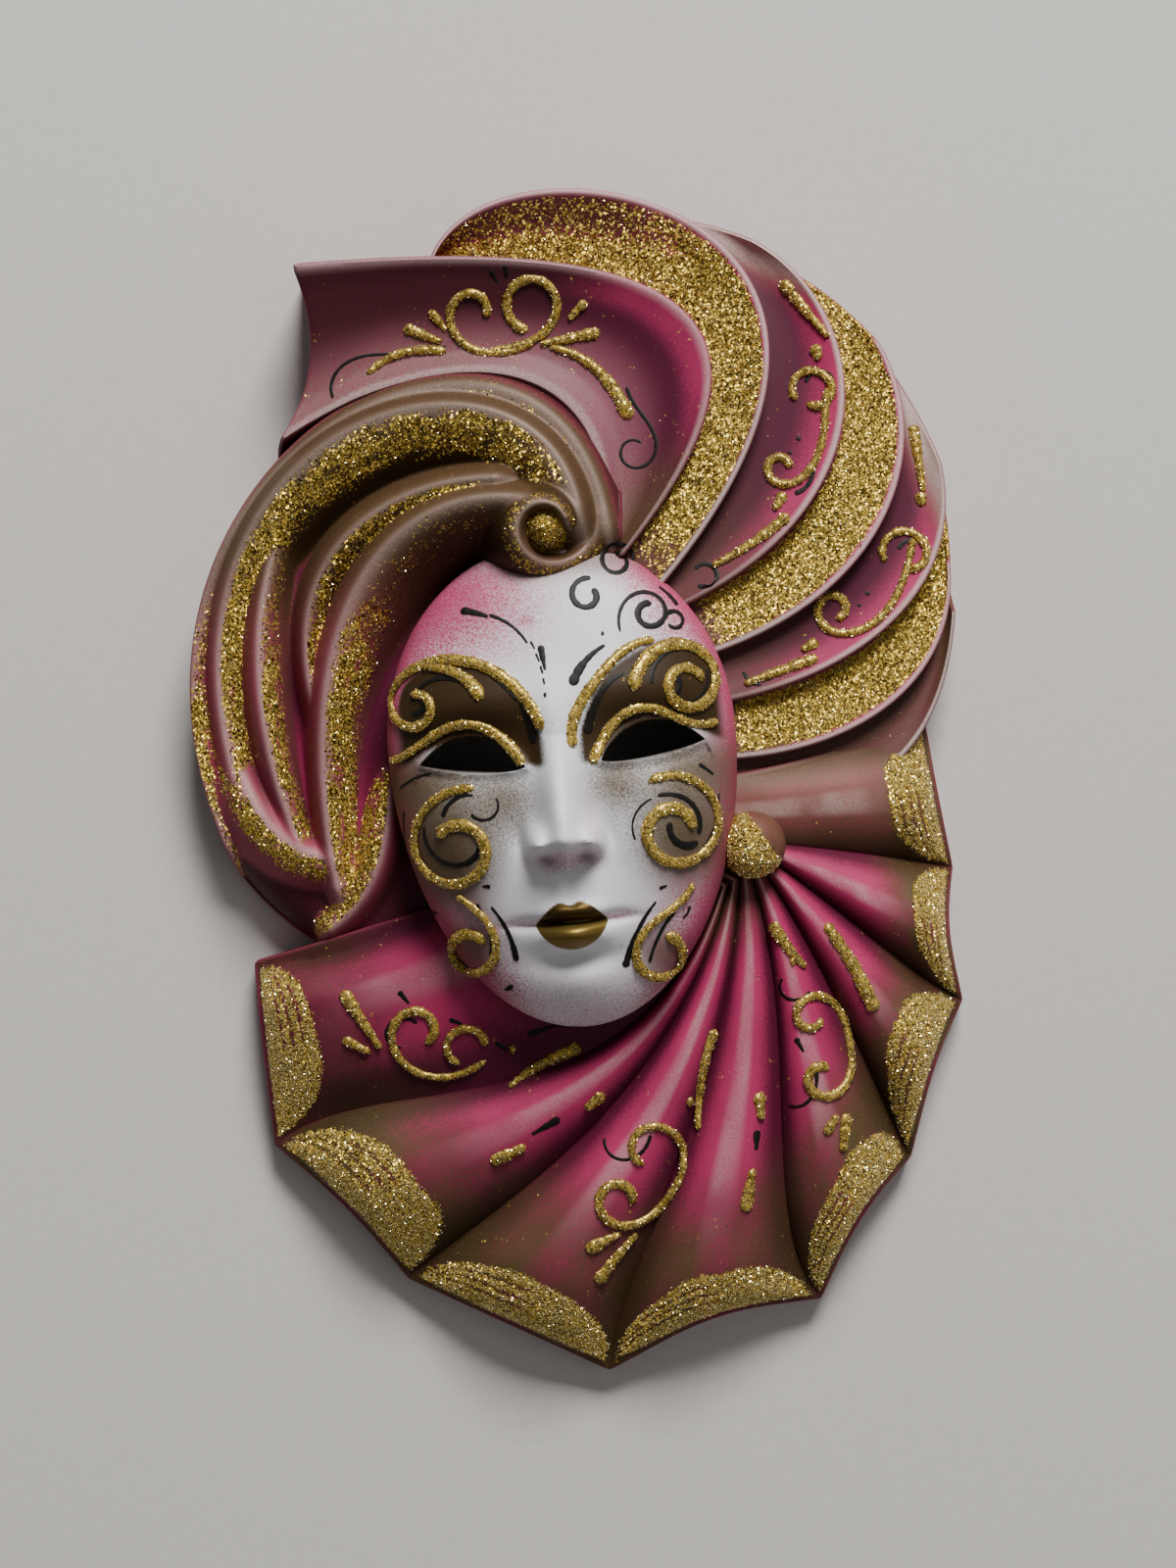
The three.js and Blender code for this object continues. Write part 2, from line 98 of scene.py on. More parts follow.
# The face is an egg in its own frame, leaning a little to the left
FACE_CENTRE = np.array([-1.0, -1.5])
FACE_LEAN = math.radians(5.2)
FACE_HALF = 43.0
FACE_WIDEST = 11.5
FACE_TO_CROWN = 48.5
FACE_TO_CHIN = 71.5
FACE_EDGE = 30.0
FACE_DOME = 21.0
FACE_GRID = (270, 190)
# Nose and mouth stand a little left of the egg's own axis
AXIS_X = -1.4
MOUTH_Y = -33.3

# Soft swellings and hollows of the face: place, reach and height, and how far to each side of the
# place the two forms of a pair stand
Form = namedtuple("Form", "x y rx ry high apart", defaults=(0,))
FACE_FORMS = {
    "brows": Form(0, 21, 15, 6, 1.8, 21),
    "sockets": Form(0, 10, 13, 7, -4, 21),
    "cheeks": Form(0, -12, 13, 13, 2.5, 23),
    "nostrils": Form(AXIS_X, -17.8, 2.3, 1.7, -3.2, 4.9),
    "septum": Form(AXIS_X, -18.2, 1.7, 2.8, 2.6),
    "creases beside the nose": Form(AXIS_X, -13, 1.7, 4.5, -1.5, 10.8),
    "philtrum": Form(AXIS_X, -25, 2.2, 4, -1.0),
    "muzzle": Form(AXIS_X, -30.5, 15, 12, 3),
    "upper lip": Form(AXIS_X, MOUTH_Y + 2.6, 4.4, 2.0, 1.7, 3.3),
    "lower lip": Form(AXIS_X, MOUTH_Y - 3.4, 7.4, 2.9, 3.8),
    "mouth line": Form(AXIS_X, MOUTH_Y, 11, 0.9, -2.4),
    "mouth corners": Form(AXIS_X, MOUTH_Y + 0.4, 4, 1.6, -1.3, 11),
    "under the lip": Form(AXIS_X, -42.8, 9, 3.0, -2.8),
    "chin": Form(AXIS_X, -51, 11, 8, 4),
}
# Nose: its heights along it from the root (0) to the tip (1), its half widths, how it fades out above
# and turns under below, and its wings
NOSE_ROOT_Y, NOSE_TIP_Y, NOSE_UNDER = 12.0, -14.3, 0.3
NOSE_ALONG, NOSE_HIGH = (0, 0.3, 0.6, 0.82, 0.95, 1.1), (3, 6, 9.8, 12.4, 13.2, 13.4)
NOSE_ROOT_HALF, NOSE_TIP_HALF = 4.4, 5.4
NOSE_FADE, NOSE_TURN, NOSE_SQUARE, NOSE_BOW = 0.45, 0.95, 2.1, -0.0006
NOSE_WING, NOSE_WING_X, NOSE_WING_RX, NOSE_WING_RY = 7.0, 6.8, 2.7, 4.2
# Eyes: place, half width, heights over and under the corners, tilt, the cutter's ends and flare, and
# the roll of clay round them
EYE_X, EYE_Y = 22.0, 6.3
EYE_HALF, EYE_UP, EYE_DOWN = 13.0, 7.2, 1.8
EYE_TILT = math.radians(6.5)
EYE_BACK, EYE_FRONT, EYE_FLARE = 20.0, 68.0, 3.2
LID_HIGH, LID_REACH = 1.4, 1.2

# Ridges of the turban: the line runs from the outer tip to the root beside the face
BANNER_LIP = ((-72, 82), (-39, 104), (7, 111.5), (9, 60))
Fold = namedtuple("Fold", "name line start swell crest_tip crest_root rise glitter")
FOLDS = (
    Fold("banner", ((-67.5, 126), (-14.5, 130), (71.5, 132.5), (16, 59.5)), 0, -6, 31, 36, 7, False),
    Fold("crown gold", ((-34, 128), (-21, 164.5), (97.5, 143), (25, 51.5)), 0.18, 0, 27, 34, 5, True),
    Fold("upper rose", ((45.5, 133), (73.5, 117), (80, 71), (31.5, 45)), 0.48, 1, 23.5, 32, 5, False),
    Fold("middle gold", ((76.5, 108), (89.5, 86), (82.5, 49.5), (38, 32.5)), 0.1, 1.5, 20.5, 30, 4.5, True),
    Fold("middle rose", ((92, 79), (98.5, 50), (75.5, 28), (40.5, 20)), 0.06, 1, 18, 28, 4.5, False),
    Fold("lower gold", ((94.5, 53.5), (96.5, 25.5), (73, 8), (41.5, 5.5)), 0.1, 0.5, 16, 26, 4, True),
    Fold("lower rose", ((96, 41.5), (93, 1), (68.5, -9), (42, -3.5)), 0.05, 0, 14, 24, 3.5, False),
)
# Cross profiles: across runs from the ridge before (0) to the fold's own ridge (1)
FOLD_ACROSS = (-0.2, 0.12, 0.4, 0.65, 0.86, 1.0)
FOLD_LIFT = (0.0, 0.02, 0.14, 0.4, 0.76, 1.0)
BANNER_ACROSS = (-0.5, -0.12, -0.02, 0.055, 0.1, 0.28, 0.55, 0.85, 1.0)
BANNER_LIFT = (-1.5, -1.3, -0.75, 0.42, 0.4, 0.0, 0.12, 0.6, 1.0)
RISE_AT_ROOT = 0.45

# Strands of hair: the crest line runs from the root by the curl to the tip. The outer flank is
# steep, the inner one falls slowly to the face. top and low are the glitter at root and tip, and
# band is the share of the inner flank that holds it, or of the outer one if it is negative.
Strand = namedtuple("Strand", "name line outside inside crest fall top low band")
STRANDS = (
    Strand(
        "outer", ((9, 62), (-5, 138.5), (-127, 76.5), (-87.5, -15)),
        5.0, (7, 11, 9), (38, 28, 15), 5, 0.15, 0.8, 1.1,
    ),
    Strand(
        "second", ((2, 66), (-9, 118), (-116, 88), (-80, -11.5)),
        4.6, (12, 15, 8), (43, 33, 19), 8, 0.75, 0.8, 0.9,
    ),
    Strand(
        "split", ((-61, 76), (-83, 56.5), (-80.5, 8), (-64, -23)),
        4.2, (4, 6, 4), (21, 28, 20), 6, 0.2, 0.7, 1.0,
    ),
    Strand(
        "hook", ((-84, 9), (-81, -6), (-73.5, -19.5), (-58.5, -20)),
        8.5, (5, 6, 5), (18, 22.5, 22), 6, 0.6, 0.9, -0.85,
    ),
    Strand(
        "thin", ((-18.5, 73), (-43.5, 73), (-74.5, 56), (-62.5, 15.5)),
        4.2, (6, 8, 4), (42, 36, 25), 8, 0.7, 0.75, 0.9,
    ),
    Strand(
        "inner", ((-10, 67.5), (-46, 73), (-70, 37), (-58, -26.5)),
        4.6, (8, 12, 8), (47, 39, 22), 9, 0.12, 0.85, 1.0,
    ),
    Strand(
        "end", ((-47, 24), (-42, -6), (-45, -28), (-59.5, -37.5)),
        6.0, (4, 5, 4), (14, 25, 18), 5, 0.6, 0.85, -1.3,
    ),
)
BED_OUTER = ((12, 82), (-23, 136), (-128.5, 69), (-83, -23.5))
BED_INNER = ((12, 57), (-20, 38), (-36, 23), (-34, -50))
BED_OUT, BED_IN, BED_END, BED_SWELL = 13.0, 26.0, 16.5, 6.0
BED_LONG, BED_ROUND = 250.0, 12.0
OUTER_POWER, INNER_POWER = 2.0, 1.7
STRAND_BLEND, PAINT_BLEND = 0.9, 3.0
HAIR_GRID = (260, 190)
# The strands run into a curl: a roll that winds clockwise round a button from its right side
CURL = np.array([-6.1, 60.7])
CURL_START, CURL_TURN, CURL_FADE = math.radians(12), math.radians(345), math.radians(110)
CURL_IN, CURL_OUT = 5.2, 8.0
CURL_ROLL = Strand("curl", None, 2.4, (5, 5, 2.6), (37, 48, 49), 5, 0.3, 0.3, 0.9)
BUTTON_TOP, BUTTON_FALL, BUTTON_REACH = 49.5, 3.0, 3.0

# Creases of the collar from the pointed tip at the edge to the root by the ball. scallop draws
# the edge in between a tip and the next, lobe is the depth of the glitter crescent there.
Crease = namedtuple("Crease", "line scallop lobe")
CREASES = (
    Crease(((89, 14), (75, 9), (58, 3), (40, 0)), 0.5, 12),
    Crease(((96, -22.5), (78.5, -19), (63.5, -17.5), (47.5, -16)), 2.5, 11),
    Crease(((98.5, -56), (82, -47), (65, -30), (47.5, -19)), 2, 14),
    Crease(((85.5, -95.5), (73.5, -70.5), (61, -41), (46.5, -21)), 3, 15),
    Crease(((63, -131), (46.5, -112), (58.5, -63), (44.5, -23)), 4.5, 13),
    Crease(((10, -149), (14.5, -117), (40, -80.5), (42, -24.5)), 0.5, 14),
    Crease(((-40.5, -126), (-20, -107.5), (26.5, -82.5), (39.5, -26)), 2, 17),
    Crease(((-74, -92.5), (-49.5, -70.5), (15.5, -92.5), (37, -27.5)), 0, 16),
    Crease(((-79, -47), (-58, -41), (-30, -30), (14.5, -22)), 0, 0),
)
CREASE_LINES = np.array([crease.line for crease in CREASES], float)
PLEATS = len(CREASES) - 1
# Combed lines in the glitter of a lobe, as shares of its depth
COMBED = (0.42, 0.6, 0.78)
COMBED_HALF = 0.042
PLEAT_ALONG = (0, 0.03, 0.08, 0.16, 0.28, 0.42, 0.58, 0.74, 0.88, 1)
PLEAT_CREASE = (7, 7.5, 9, 11.5, 14.5, 17.5, 20, 22, 23.5, 24.5)
PLEAT_RAISE = (4, 7.5, 9.5, 10, 8.5, 7, 5.5, 4, 3, 2)
PLEAT_ROUND = 0.8
# Share of the way to the middle of the face that the pleats' roots are tucked under it
ROOT_TUCK = 0.25
# The last pleat rolls over at its top, further down beside the hair
ROLL_DIP, ROLL_AT, ROLL_REACH = 0.09, 0.3, 0.2
LAST_PLEAT = ((0, 0.3, 0.58, 0.74, 0.88, 1), (0, 0.6, 0.93, 1, 0.75, 0.25))
BALL_X, BALL_Y, BALL_Z, BALL_RADIUS, BALL_FOOT = 45.0, -16.5, 29.0, 8.3, 22.0

# Strokes of glitter glue and black enamel: start, heading in degrees, length, width at both ends
# and, where it isn't straight, the bend in degrees a millimetre at the start, middle and end
Stroke = namedtuple("Stroke", "x y heading length wide_a wide_b bends", defaults=((0, 0, 0),))
GLUE_TURBAN = (
    Stroke(-21, 114, 58, 43, 2.2, 1.8, (17, 6, 2)),
    Stroke(-20, 105.5, 9, 50.5, 1.8, 2.4, (-0.6, 9.2, 9.4)),
    Stroke(-41, 111.5, -21, 10, 3.2, 1.2),
    Stroke(-34.5, 115.5, -50, 6, 2.4, 1.2),
    Stroke(4, 117.5, -135, 6, 2.6, 1.2),
    Stroke(7.5, 110, -169, 15, 3.0, 1.6),
    Stroke(-5, 106.5, -10, 28, 1.6, 3.6, (-2.6, -2.3, -0.9)),
    Stroke(-50, 100, 50, 21, 1.6, 2.4, (-4, -2.8, -2)),
    Stroke(52.5, 123.5, -51, 18.5, 3.4, 1.4),
    Stroke(60.5, 107.5, -70, 4, 3.2, 2.2),
    Stroke(56.3, 93.7, 137, 27, 1.8, 2.2, (-15, -10.3, -18)),
    Stroke(63.8, 96.7, -97, 44, 1.8, 2.2, (1.3, -4.3, -26)),
    Stroke(53, 70.5, -120, 5, 3.2, 1.6),
    Stroke(54, 65, -138, 23, 3.0, 1.6, (-0.7, -0.7, -0.7)),
    Stroke(86, 88.5, -82, 17, 3.2, 1.4),
    Stroke(87.5, 71.5, -80, 3.5, 3.2, 2.2),
    Stroke(78.6, 54, 122, 28, 1.8, 2.2, (-12.3, -9.4, -16.5)),
    Stroke(85.7, 60, -100, 57, 1.8, 2.2, (-0.2, -4.0, -22.5)),
    Stroke(61.5, 34, -150, 4.5, 3.2, 1.6),
    Stroke(61.5, 30, -160, 19.5, 3.0, 1.6),
)
GLUE_FACE = (
    Stroke(-6.5, 11.5, 110, 73.5, 3.0, 2.2, (1.9, 2.9, 17)),
    Stroke(-35.5, 27, -1, 17.5, 1.8, 3.4, (-2, -4, -6.2)),
    Stroke(-44, 4, 13, 39, 1.8, 2.9, (4.8, -5.3, -1.6)),
    Stroke(-23, -2.5, -181, 67, 2.0, 3.0, (3.2, 6, 10)),
    Stroke(-27.5, -28.5, -35, 47, 1.8, 2.8, (0.2, -9.8, -13.8)),
    Stroke(1, 7.5, 107, 35.5, 3.2, 1.8, (-6, -0.1, -5.8)),
    Stroke(15.5, 21, 87, 63, 3.4, 2.4, (-4, -7.2, -15.2)),
    Stroke(5.5, 3.5, 67, 38.5, 2.9, 1.8, (0.5, -7.1, 10.4)),
    Stroke(19, -1, 30, 69, 2.0, 3.2, (-4.7, -5.7, -11.9)),
    Stroke(30, -25.5, -108, 48, 1.8, 2.8, (-7, 9.4, 11.4)),
)
GLUE_COLLAR = (
    Stroke(-56.5, -53, -57, 17, 3.6, 1.4),
    Stroke(-56.5, -65, -27, 7.5, 2.8, 1.4),
    Stroke(-36, -66, 23, 51.5, 2.4, 1.6, (15.5, 5.7, 2.2)),
    Stroke(-27.5, -71, 170, 20, 1.6, 2.2, (-16, -11, -13.5)),
    Stroke(-15, -67.5, 0, 1.6, 2.4, 2.4),
    Stroke(2.5, -67, -158, 20.5, 3.4, 1.4, (0, 1.3, 1.3)),
    Stroke(8.5, -78.5, -142, 6, 3.8, 1.8),
    Stroke(-11, -91.5, -155, 9.5, 2.2, 3.6),
    Stroke(36, -62.5, -111, 25.5, 3.2, 1.6, (1, 0.9, 0.8)),
    Stroke(29, -80.5, 0, 1.6, 2.4, 2.4),
    Stroke(18.5, -96, 164, 76, 1.8, 2.4, (-13.7, -1.6, -17.1)),
    Stroke(4, -117.5, 26, 9.5, 3.6, 1.6),
    Stroke(6.5, -126, 51, 16, 3.6, 1.6),
    Stroke(47, -78, -86, 7, 3.6, 1.8),
    Stroke(45.5, -97, -100, 11, 1.8, 3.8),
    Stroke(50, -36, -60, 14, 3.4, 1.6, (1.1, 1.1, 1.1)),
    Stroke(54.5, -45.5, 0, 1.4, 2.4, 2.4),
    Stroke(62.5, -59.5, -96, 64, 2.0, 2.4, (-21, -0.4, -19.7)),
    Stroke(63.5, -88.5, 59, 5.5, 3.0, 1.6),
    Stroke(69, -83.5, -97, 9.5, 3.4, 1.8),
    Stroke(63.5, -36, -60, 25, 2.6, 3.6, (1.5, -1.5, 1.5)),
)
ENAMEL_TURBAN = (
    Stroke(-58.5, 94, 120, 36, 0.9, 0.6, (-11.2, -1.7, 4.4)),
    Stroke(14, 96.5, -80, 38, 1.0, 0.7, (7, -10.3, -20.7)),
    Stroke(-19.5, 125, -60, 3.5, 1.4, 0.5),
    Stroke(-16, 126, -80, 3, 1.3, 0.5),
    Stroke(31, 51.5, 60, 14, 1.0, 1.4, (-22, -18, -24)),
    Stroke(43, 26.5, -75, 6, 0.8, 1.2, (10, 14, 20)),
    Stroke(58.5, 98, 80, 10, 1.2, 0.7, (-16, -16, -22)),
    Stroke(61, 80, -100, 12, 0.7, 1.4, (2, -6, -14)),
    Stroke(56, 84, 0, 1.2, 1.2, 1.2),
    Stroke(54, 80.5, 0, 1.0, 1.0, 1.0),
    Stroke(82, 57, 70, 10, 1.2, 0.7, (-16, -16, -22)),
    Stroke(73.5, 46, 0, 1.2, 1.2, 1.2),
    Stroke(71.5, 43, 0, 1.0, 1.0, 1.0),
)
ENAMEL_FACE = (
    Stroke(-26.5, 40.8, -8, 7, 2.0, 1.0, (-1.5, -2, -2)),
    Stroke(-19.5, 39.5, -16, 12, 0.9, 0.6, (-3, -4, -3)),
    Stroke(-9.4, 33, -62, 2.2, 0.6, 0.5),
    Stroke(-8.1, 30, -66, 2.2, 0.6, 0.5),
    Stroke(-7, 27, -72, 2, 0.6, 0.5),
    Stroke(-6.3, 24, -78, 1.6, 0.6, 0.5),
    Stroke(-7, 32, -79, 6.2, 2.0, 0.6),
    Stroke(-5.9, 20.5, -85, 1.2, 0.8, 0.6),
    Stroke(0.7, 22.2, 75, 13, 2.8, 0.7, (-4, -3.4, -3)),
    Stroke(7.6, 34.9, 0, 0.8, 1.5, 1.5),
    Stroke(5.2, 48.6, 172, 18.5, 1.3, 1.7, (13.5, 16.5, 27)),
    Stroke(15.9, 53.6, 95, 26, 1.0, 1.3, (13.5, 15.5, 26)),
    Stroke(12.4, 35.2, 108, 37, 0.7, 1.8, (-5.5, -12, -23)),
    Stroke(21.8, 46.9, -32, 6.5, 0.8, 1.5, (-4, -4, -4)),
    Stroke(23.1, 38.6, 85, 12, 1.3, 0.9, (-24, -26, -34)),
    Stroke(-37.7, 20.6, 52, 13.5, 0.9, 1.6, (-6, -6, -6)),
    Stroke(-38.5, 15.8, -20, 9, 1.4, 1.8, (24, 28, 34)),
    Stroke(-18.5, 24.5, -42, 8.5, 0.8, 0.8, (-1, -1, -1)),
    Stroke(-11.8, 17.8, -66, 10, 0.9, 2.2, (-1, -1, -1)),
    Stroke(4.4, 10.5, 84, 18, 2.4, 0.7, (-2, -3, -5)),
    Stroke(19.9, 22.6, 96, 12, 0.9, 0.9, (-7, -7, -7)),
    Stroke(33.6, 26.4, -80, 12, 0.9, 1.0, (-6, -9, -10)),
    Stroke(24.6, 19.5, 20, 7, 1.2, 1.6, (14, 20, 26)),
    Stroke(-35.4, -11.8, -96, 28, 0.9, 1.7, (6, 8, 13)),
    Stroke(-30.7, -9.4, 75, 10, 1.4, 0.6, (-7, -9, -9)),
    Stroke(-23.7, -8.8, -50, 11, 0.9, 0.6, (14, 16, 18)),
    Stroke(-41.6, -2.6, 42, 9, 0.6, 0.5, (-4, -4, -4)),
    Stroke(-40.6, -8.2, -98, 11, 0.6, 0.5, (2, 2, 2)),
    Stroke(21.3, -4.3, 14, 17, 1.0, 1.6, (-5, -8, -8)),
    Stroke(24.3, -10.7, -102, 11, 1.5, 2.0, (11, 13, 13)),
    Stroke(19.9, -5, -155, 12, 0.6, 0.5, (6, 8, 9)),
    Stroke(36.4, -3.7, -85, 14, 0.6, 0.6, (-3, -3, -3)),
    Stroke(31.4, 3.4, -30, 4.5, 1.0, 0.5, (-2, -2, -2)),
    Stroke(-21.1, -26.3, 0, 2, 0.5, 1.2),
    Stroke(-19, -31.2, -50, 15, 0.6, 1.7, (-1.5, -2.5, -2.5)),
    Stroke(-22.6, -30.6, -58, 17, 1.1, 0.8, (-1, -4, -6)),
    Stroke(-35.2, -31.2, -70, 3.5, 0.9, 0.7, (10, 20, 30)),
    Stroke(-15.9, -52, 20, 2.4, 0.8, 1.3, (10, 12, 14)),
    Stroke(21.1, -29.9, -130, 18, 0.6, 2.0, (2, 1.5, 1)),
    Stroke(25.6, -32.5, -130, 14, 1.1, 0.8, (2, 2, 2)),
    Stroke(21.8, -26.8, 20, 2, 1.2, 0.5),
    Stroke(29.4, -31.2, -100, 3.5, 0.8, 0.6, (-8, -14, -20)),
)
ENAMEL_COLLAR = (
    Stroke(-10.5, -64, 25, 14.5, 1.6, 0.7, (-2, -2, -2)),
    Stroke(-2.5, -84.5, -150, 8, 2.2, 0.8),
    Stroke(46.5, -87.5, -92, 5, 2.4, 1.0),
    Stroke(-42.5, -53, -50, 4, 1.8, 0.6),
    Stroke(-30, -60, -20, 3.5, 1.4, 0.6),
    Stroke(-18.5, -66, -30, 3.5, 1.4, 0.6),
    Stroke(56, -64.5, -60, 4, 1.6, 0.6),
    Stroke(20, -88.5, -100, 18, 1.0, 0.7, (-6, -10, -14)),
    Stroke(59.5, -53, -130, 12, 1.0, 0.7, (-8, -16, -20)),
    Stroke(61, -72, -80, 14, 1.0, 0.7, (-3, -8, -16)),
    Stroke(-38, -61, 140, 16, 1.0, 0.7, (10, 14, 20)),
)

# Sprayed patches of the face as soft forms, whose height is the paint's strength. Some of
# them are painted shade, as marked
COATS = 2.4
# Painted shade in the nostrils
NOSTRIL_SHADE = Form(AXIS_X, -17.9, 2.2, 1.5, 0.4, 4.9)
BRONZE_PATCHES = (
    Form(-29.7, -13, 9.5, 10.5, 1.6),
    Form(-35, 3, 12, 6.5, 1.0),
    Form(-15, -3, 6.5, 7, 0.75),
    Form(27.3, -14, 9.5, 10, 1.4),
    Form(31, 1, 10, 7, 0.95),
    Form(12.5, 0, 6, 6.5, 0.85),
    # Painted shade under the lower lip
    Form(AXIS_X, -42.5, 8, 2.2, 0.06),
    Form(-26.2, -37.7, 5, 5, 0.6),
    Form(19.6, -43.2, 5, 5, 0.55),
    Form(4, 54, 14, 4, 0.6),
)
ROSE_PATCHES = (
    Form(-27, 48, 19, 13, 1.2),
    Form(-38, 34, 8, 15, 0.7),
    Form(35, 43, 11, 15, 0.7),
    Form(-35, -33, 11, 17, 0.7),
    Form(33, -36, 11, 17, 0.7),
    Form(-26, -38, 6, 6, 0.35),
    Form(20, -43, 6, 6, 0.3),
    Form(-6, 40, 2.2, 1.3, 0.35),
    # Painted shade in rose on the right side of the nose
    Form(5.6, -8.5, 2.4, 7, 0.12),
    # Painted shade in rose under the nose
    Form(AXIS_X, -18.3, 7.5, 2.6, 0.3),
    Form(AXIS_X, MOUTH_Y + 0.4, 5, 1.2, 0.2, 12),
)
# Dark eye sockets between the brow scroll and the lid, over the distance from the middle
SOCKET_X = (3, 6, 9, 13, 17, 22, 27, 33, 37, 40)
SOCKET_TOP = (8, 16, 22, 27, 29.7, 31.8, 32.3, 31, 28, 20)
SOCKET_BASE = (6, 5, 6, 9, 12, 13, 12.5, 11, 9, 8)
# Lips: half width, heights over and under the mouth line, and the dip of the bow and how far from
# the middle its peaks stand
LIP_HALF, LIP_OVER, LIP_UNDER, LIP_DIP, LIP_PEAK = 8.7, 5.0, 6.8, 0.9, 2.3

# Plain paint of the sides, and how much of the border's paint is kept down the lip
SIDES = {"deep": 0.55, "bronze": 0.2}
LIP_KEPT = (0.7, 0.25, 0, 0)

# Steps along a stroke, points round it, how its width and height waver along it, and the half width
# from which it stands at its full height
STROKE_STEPS = 56
SECTION = 10
WAVER_RATES, WAVER_WIDE, WAVER_HIGH = (0.9, 1.7, 3.1), 0.16, 0.2
FULL_HALF = 0.9

# A grain of glitter is a flattened four-faced chip
GRAIN_CORNERS = np.array([[1, 1, 0.6], [1, -1, -0.6], [-1, 1, -0.6], [-1, -1, 0.6]]) / math.sqrt(3)
GRAIN_FACES = np.array([[0, 1, 2], [0, 2, 3], [0, 3, 1], [1, 3, 2]])
GRAIN_SPREAD, GRAIN_PROUD = (0.65, 1.25), 0.25
# The collar holds the palest and the thickest glitter, so that its lobes read brighter: a
# painted highlight for the light they catch
DIMMEST = {"collar_glitter": 0.9}
THICKER = {"collar_glitter": 1.7}
# Glitter is thin where its mask is low, and lies no deeper under the front than this
GLITTER_POWER, HIDDEN_DEPTH = 1.5, 0.7

# How speckled each paint's edge is, in the order of spraying
GRAINY = {"deep": 3.0, "white": 6.5, "bronze": 4.5, "pale": 2.5, "lip": 0.0, "umber": 4.0}
# Metal in the glitter, the bronze and the lips, and the roughness of paint and of metal
GLITTER_METAL, BRONZE_METAL, LIP_METAL = 0.65, 0.18, 0.7
MATT, SATIN = 0.54, 0.36
# Real sizes of the finishes' patterns in millimetres: cloudy spray, flakes, flakes in glue and worn
# glitter, then the grit of spray and of glue, the flow of the brush and the tooth of the paper
CLOUD, FLAKE, GLUE_FLAKE, WORN = 14.0, 0.45, 0.6, 3.5
SPRAY_GRIT, GLUE_GRIT, BRUSH_FLOW, PAPER_TOOTH = 0.06, 0.3, 1.2, 3.0
# Shares of the lip mask at the two sides of the lips' edge
LIP_EDGE = (0.46, 0.54)
# Glitter lies where its mask, with these shares of a flake's chance and of the wear, passes a limit
FLAKE_SHARE, WORN_SHARE, GLITTER_LIMIT = 0.7, 0.5, (0.98, 1.1)
# Gaps between flakes on the bands and in the glue, and the chance at which a flake is full gold
BAND_GAP, BAND_FULL = "#4a3510", 0.75
GLUE_GAP, GLUE_FULL = "#6a5524", 0.55
# The darkest and the palest grain, enamel where it is thin, and the shade of the paper's tooth
FILM_DARK, FILM_PALE = "#80601c", "#f2e0a0"
ENAMEL_THIN, PAPER_SHADE = "#17130f", "#c4bfb8"

# Shading, the rounds that spread paint to new points, and the cells of the noise
SHARP = math.radians(38)
SETTLE_ROUNDS = 8
NOISE_CELLS = 64

# Camera over the middle of the face, as far as a phone is held, framing 300 by 400 mm
CAMERA_X, CAMERA_Y, CAMERA_Z = 4.5, -1.5, 900.0
FRAME_TALL = 400.0
SENSOR = 36.0
# Stage in metres: half of the floor, the point that is lit, and the lights' places, sizes and powers
FLOOR_HALF = 6.0
LIT = (0, 0, 0.02)
LIGHTS = {"key": ((0.36, 1.76, 1.36), 0.85, 88), "fill": ((0.7, -0.3, 1.1), 1.0, 1.8)}
BACKDROP, BACKDROP_STRENGTH = "#e6e8ec", 0.17


def linear(code):
    """Linear RGB of an sRGB hex colour."""
    value = np.array([int(code[i:i + 2], 16) for i in (1, 3, 5)]) / 255
    dark, light = value / 12.92, ((value + 0.055) / 1.055) ** 2.4
    return tuple(np.where(value <= 0.04045, dark, light).tolist())


def colour(name, description, code):
    """A colour property with its default given as an sRGB hex value."""
    return bpy.props.FloatVectorProperty(
        name=name, description=description, subtype="COLOR", size=3, min=0, max=1, default=linear(code)
    )


def length(name, description, millimetres):
    """A length property with its default given in millimetres."""
    return bpy.props.FloatProperty(
        name=name, description=description, default=millimetres * MM, min=0, unit="LENGTH", precision=5
    )


def density(name, description, grains):
    """A number of grains of glitter for each square millimetre."""
    return bpy.props.FloatProperty(name=name, description=description, default=grains, min=0)


class MaskSizes(bpy.types.PropertyGroup):
    """Sizes of the fine work on the casting"""

    lip: length("Edge rounding", "Radius on the ridges and edges of the casting", 0.9)
    glue_high: length("Glue height", "Height of a stroke of glitter glue", 0.9)
    enamel_high: length("Enamel height", "Height of a black enamel line", 0.14)
    sink: length("Stroke sink", "Depth of a stroke's underside in the casting", 0.35)
    grain: length("Glitter grain", "Radius of a grain of glitter", 0.28)
    speckle: length("Spray speckle", "Size of the airbrush's droplets", 0.5)
    band_density: density("Glitter on bands", "Grains for each square millimetre of a band", 4.4)
    glue_density: density("Glitter on strokes", "Grains for each square millimetre of a stroke", 6.0)


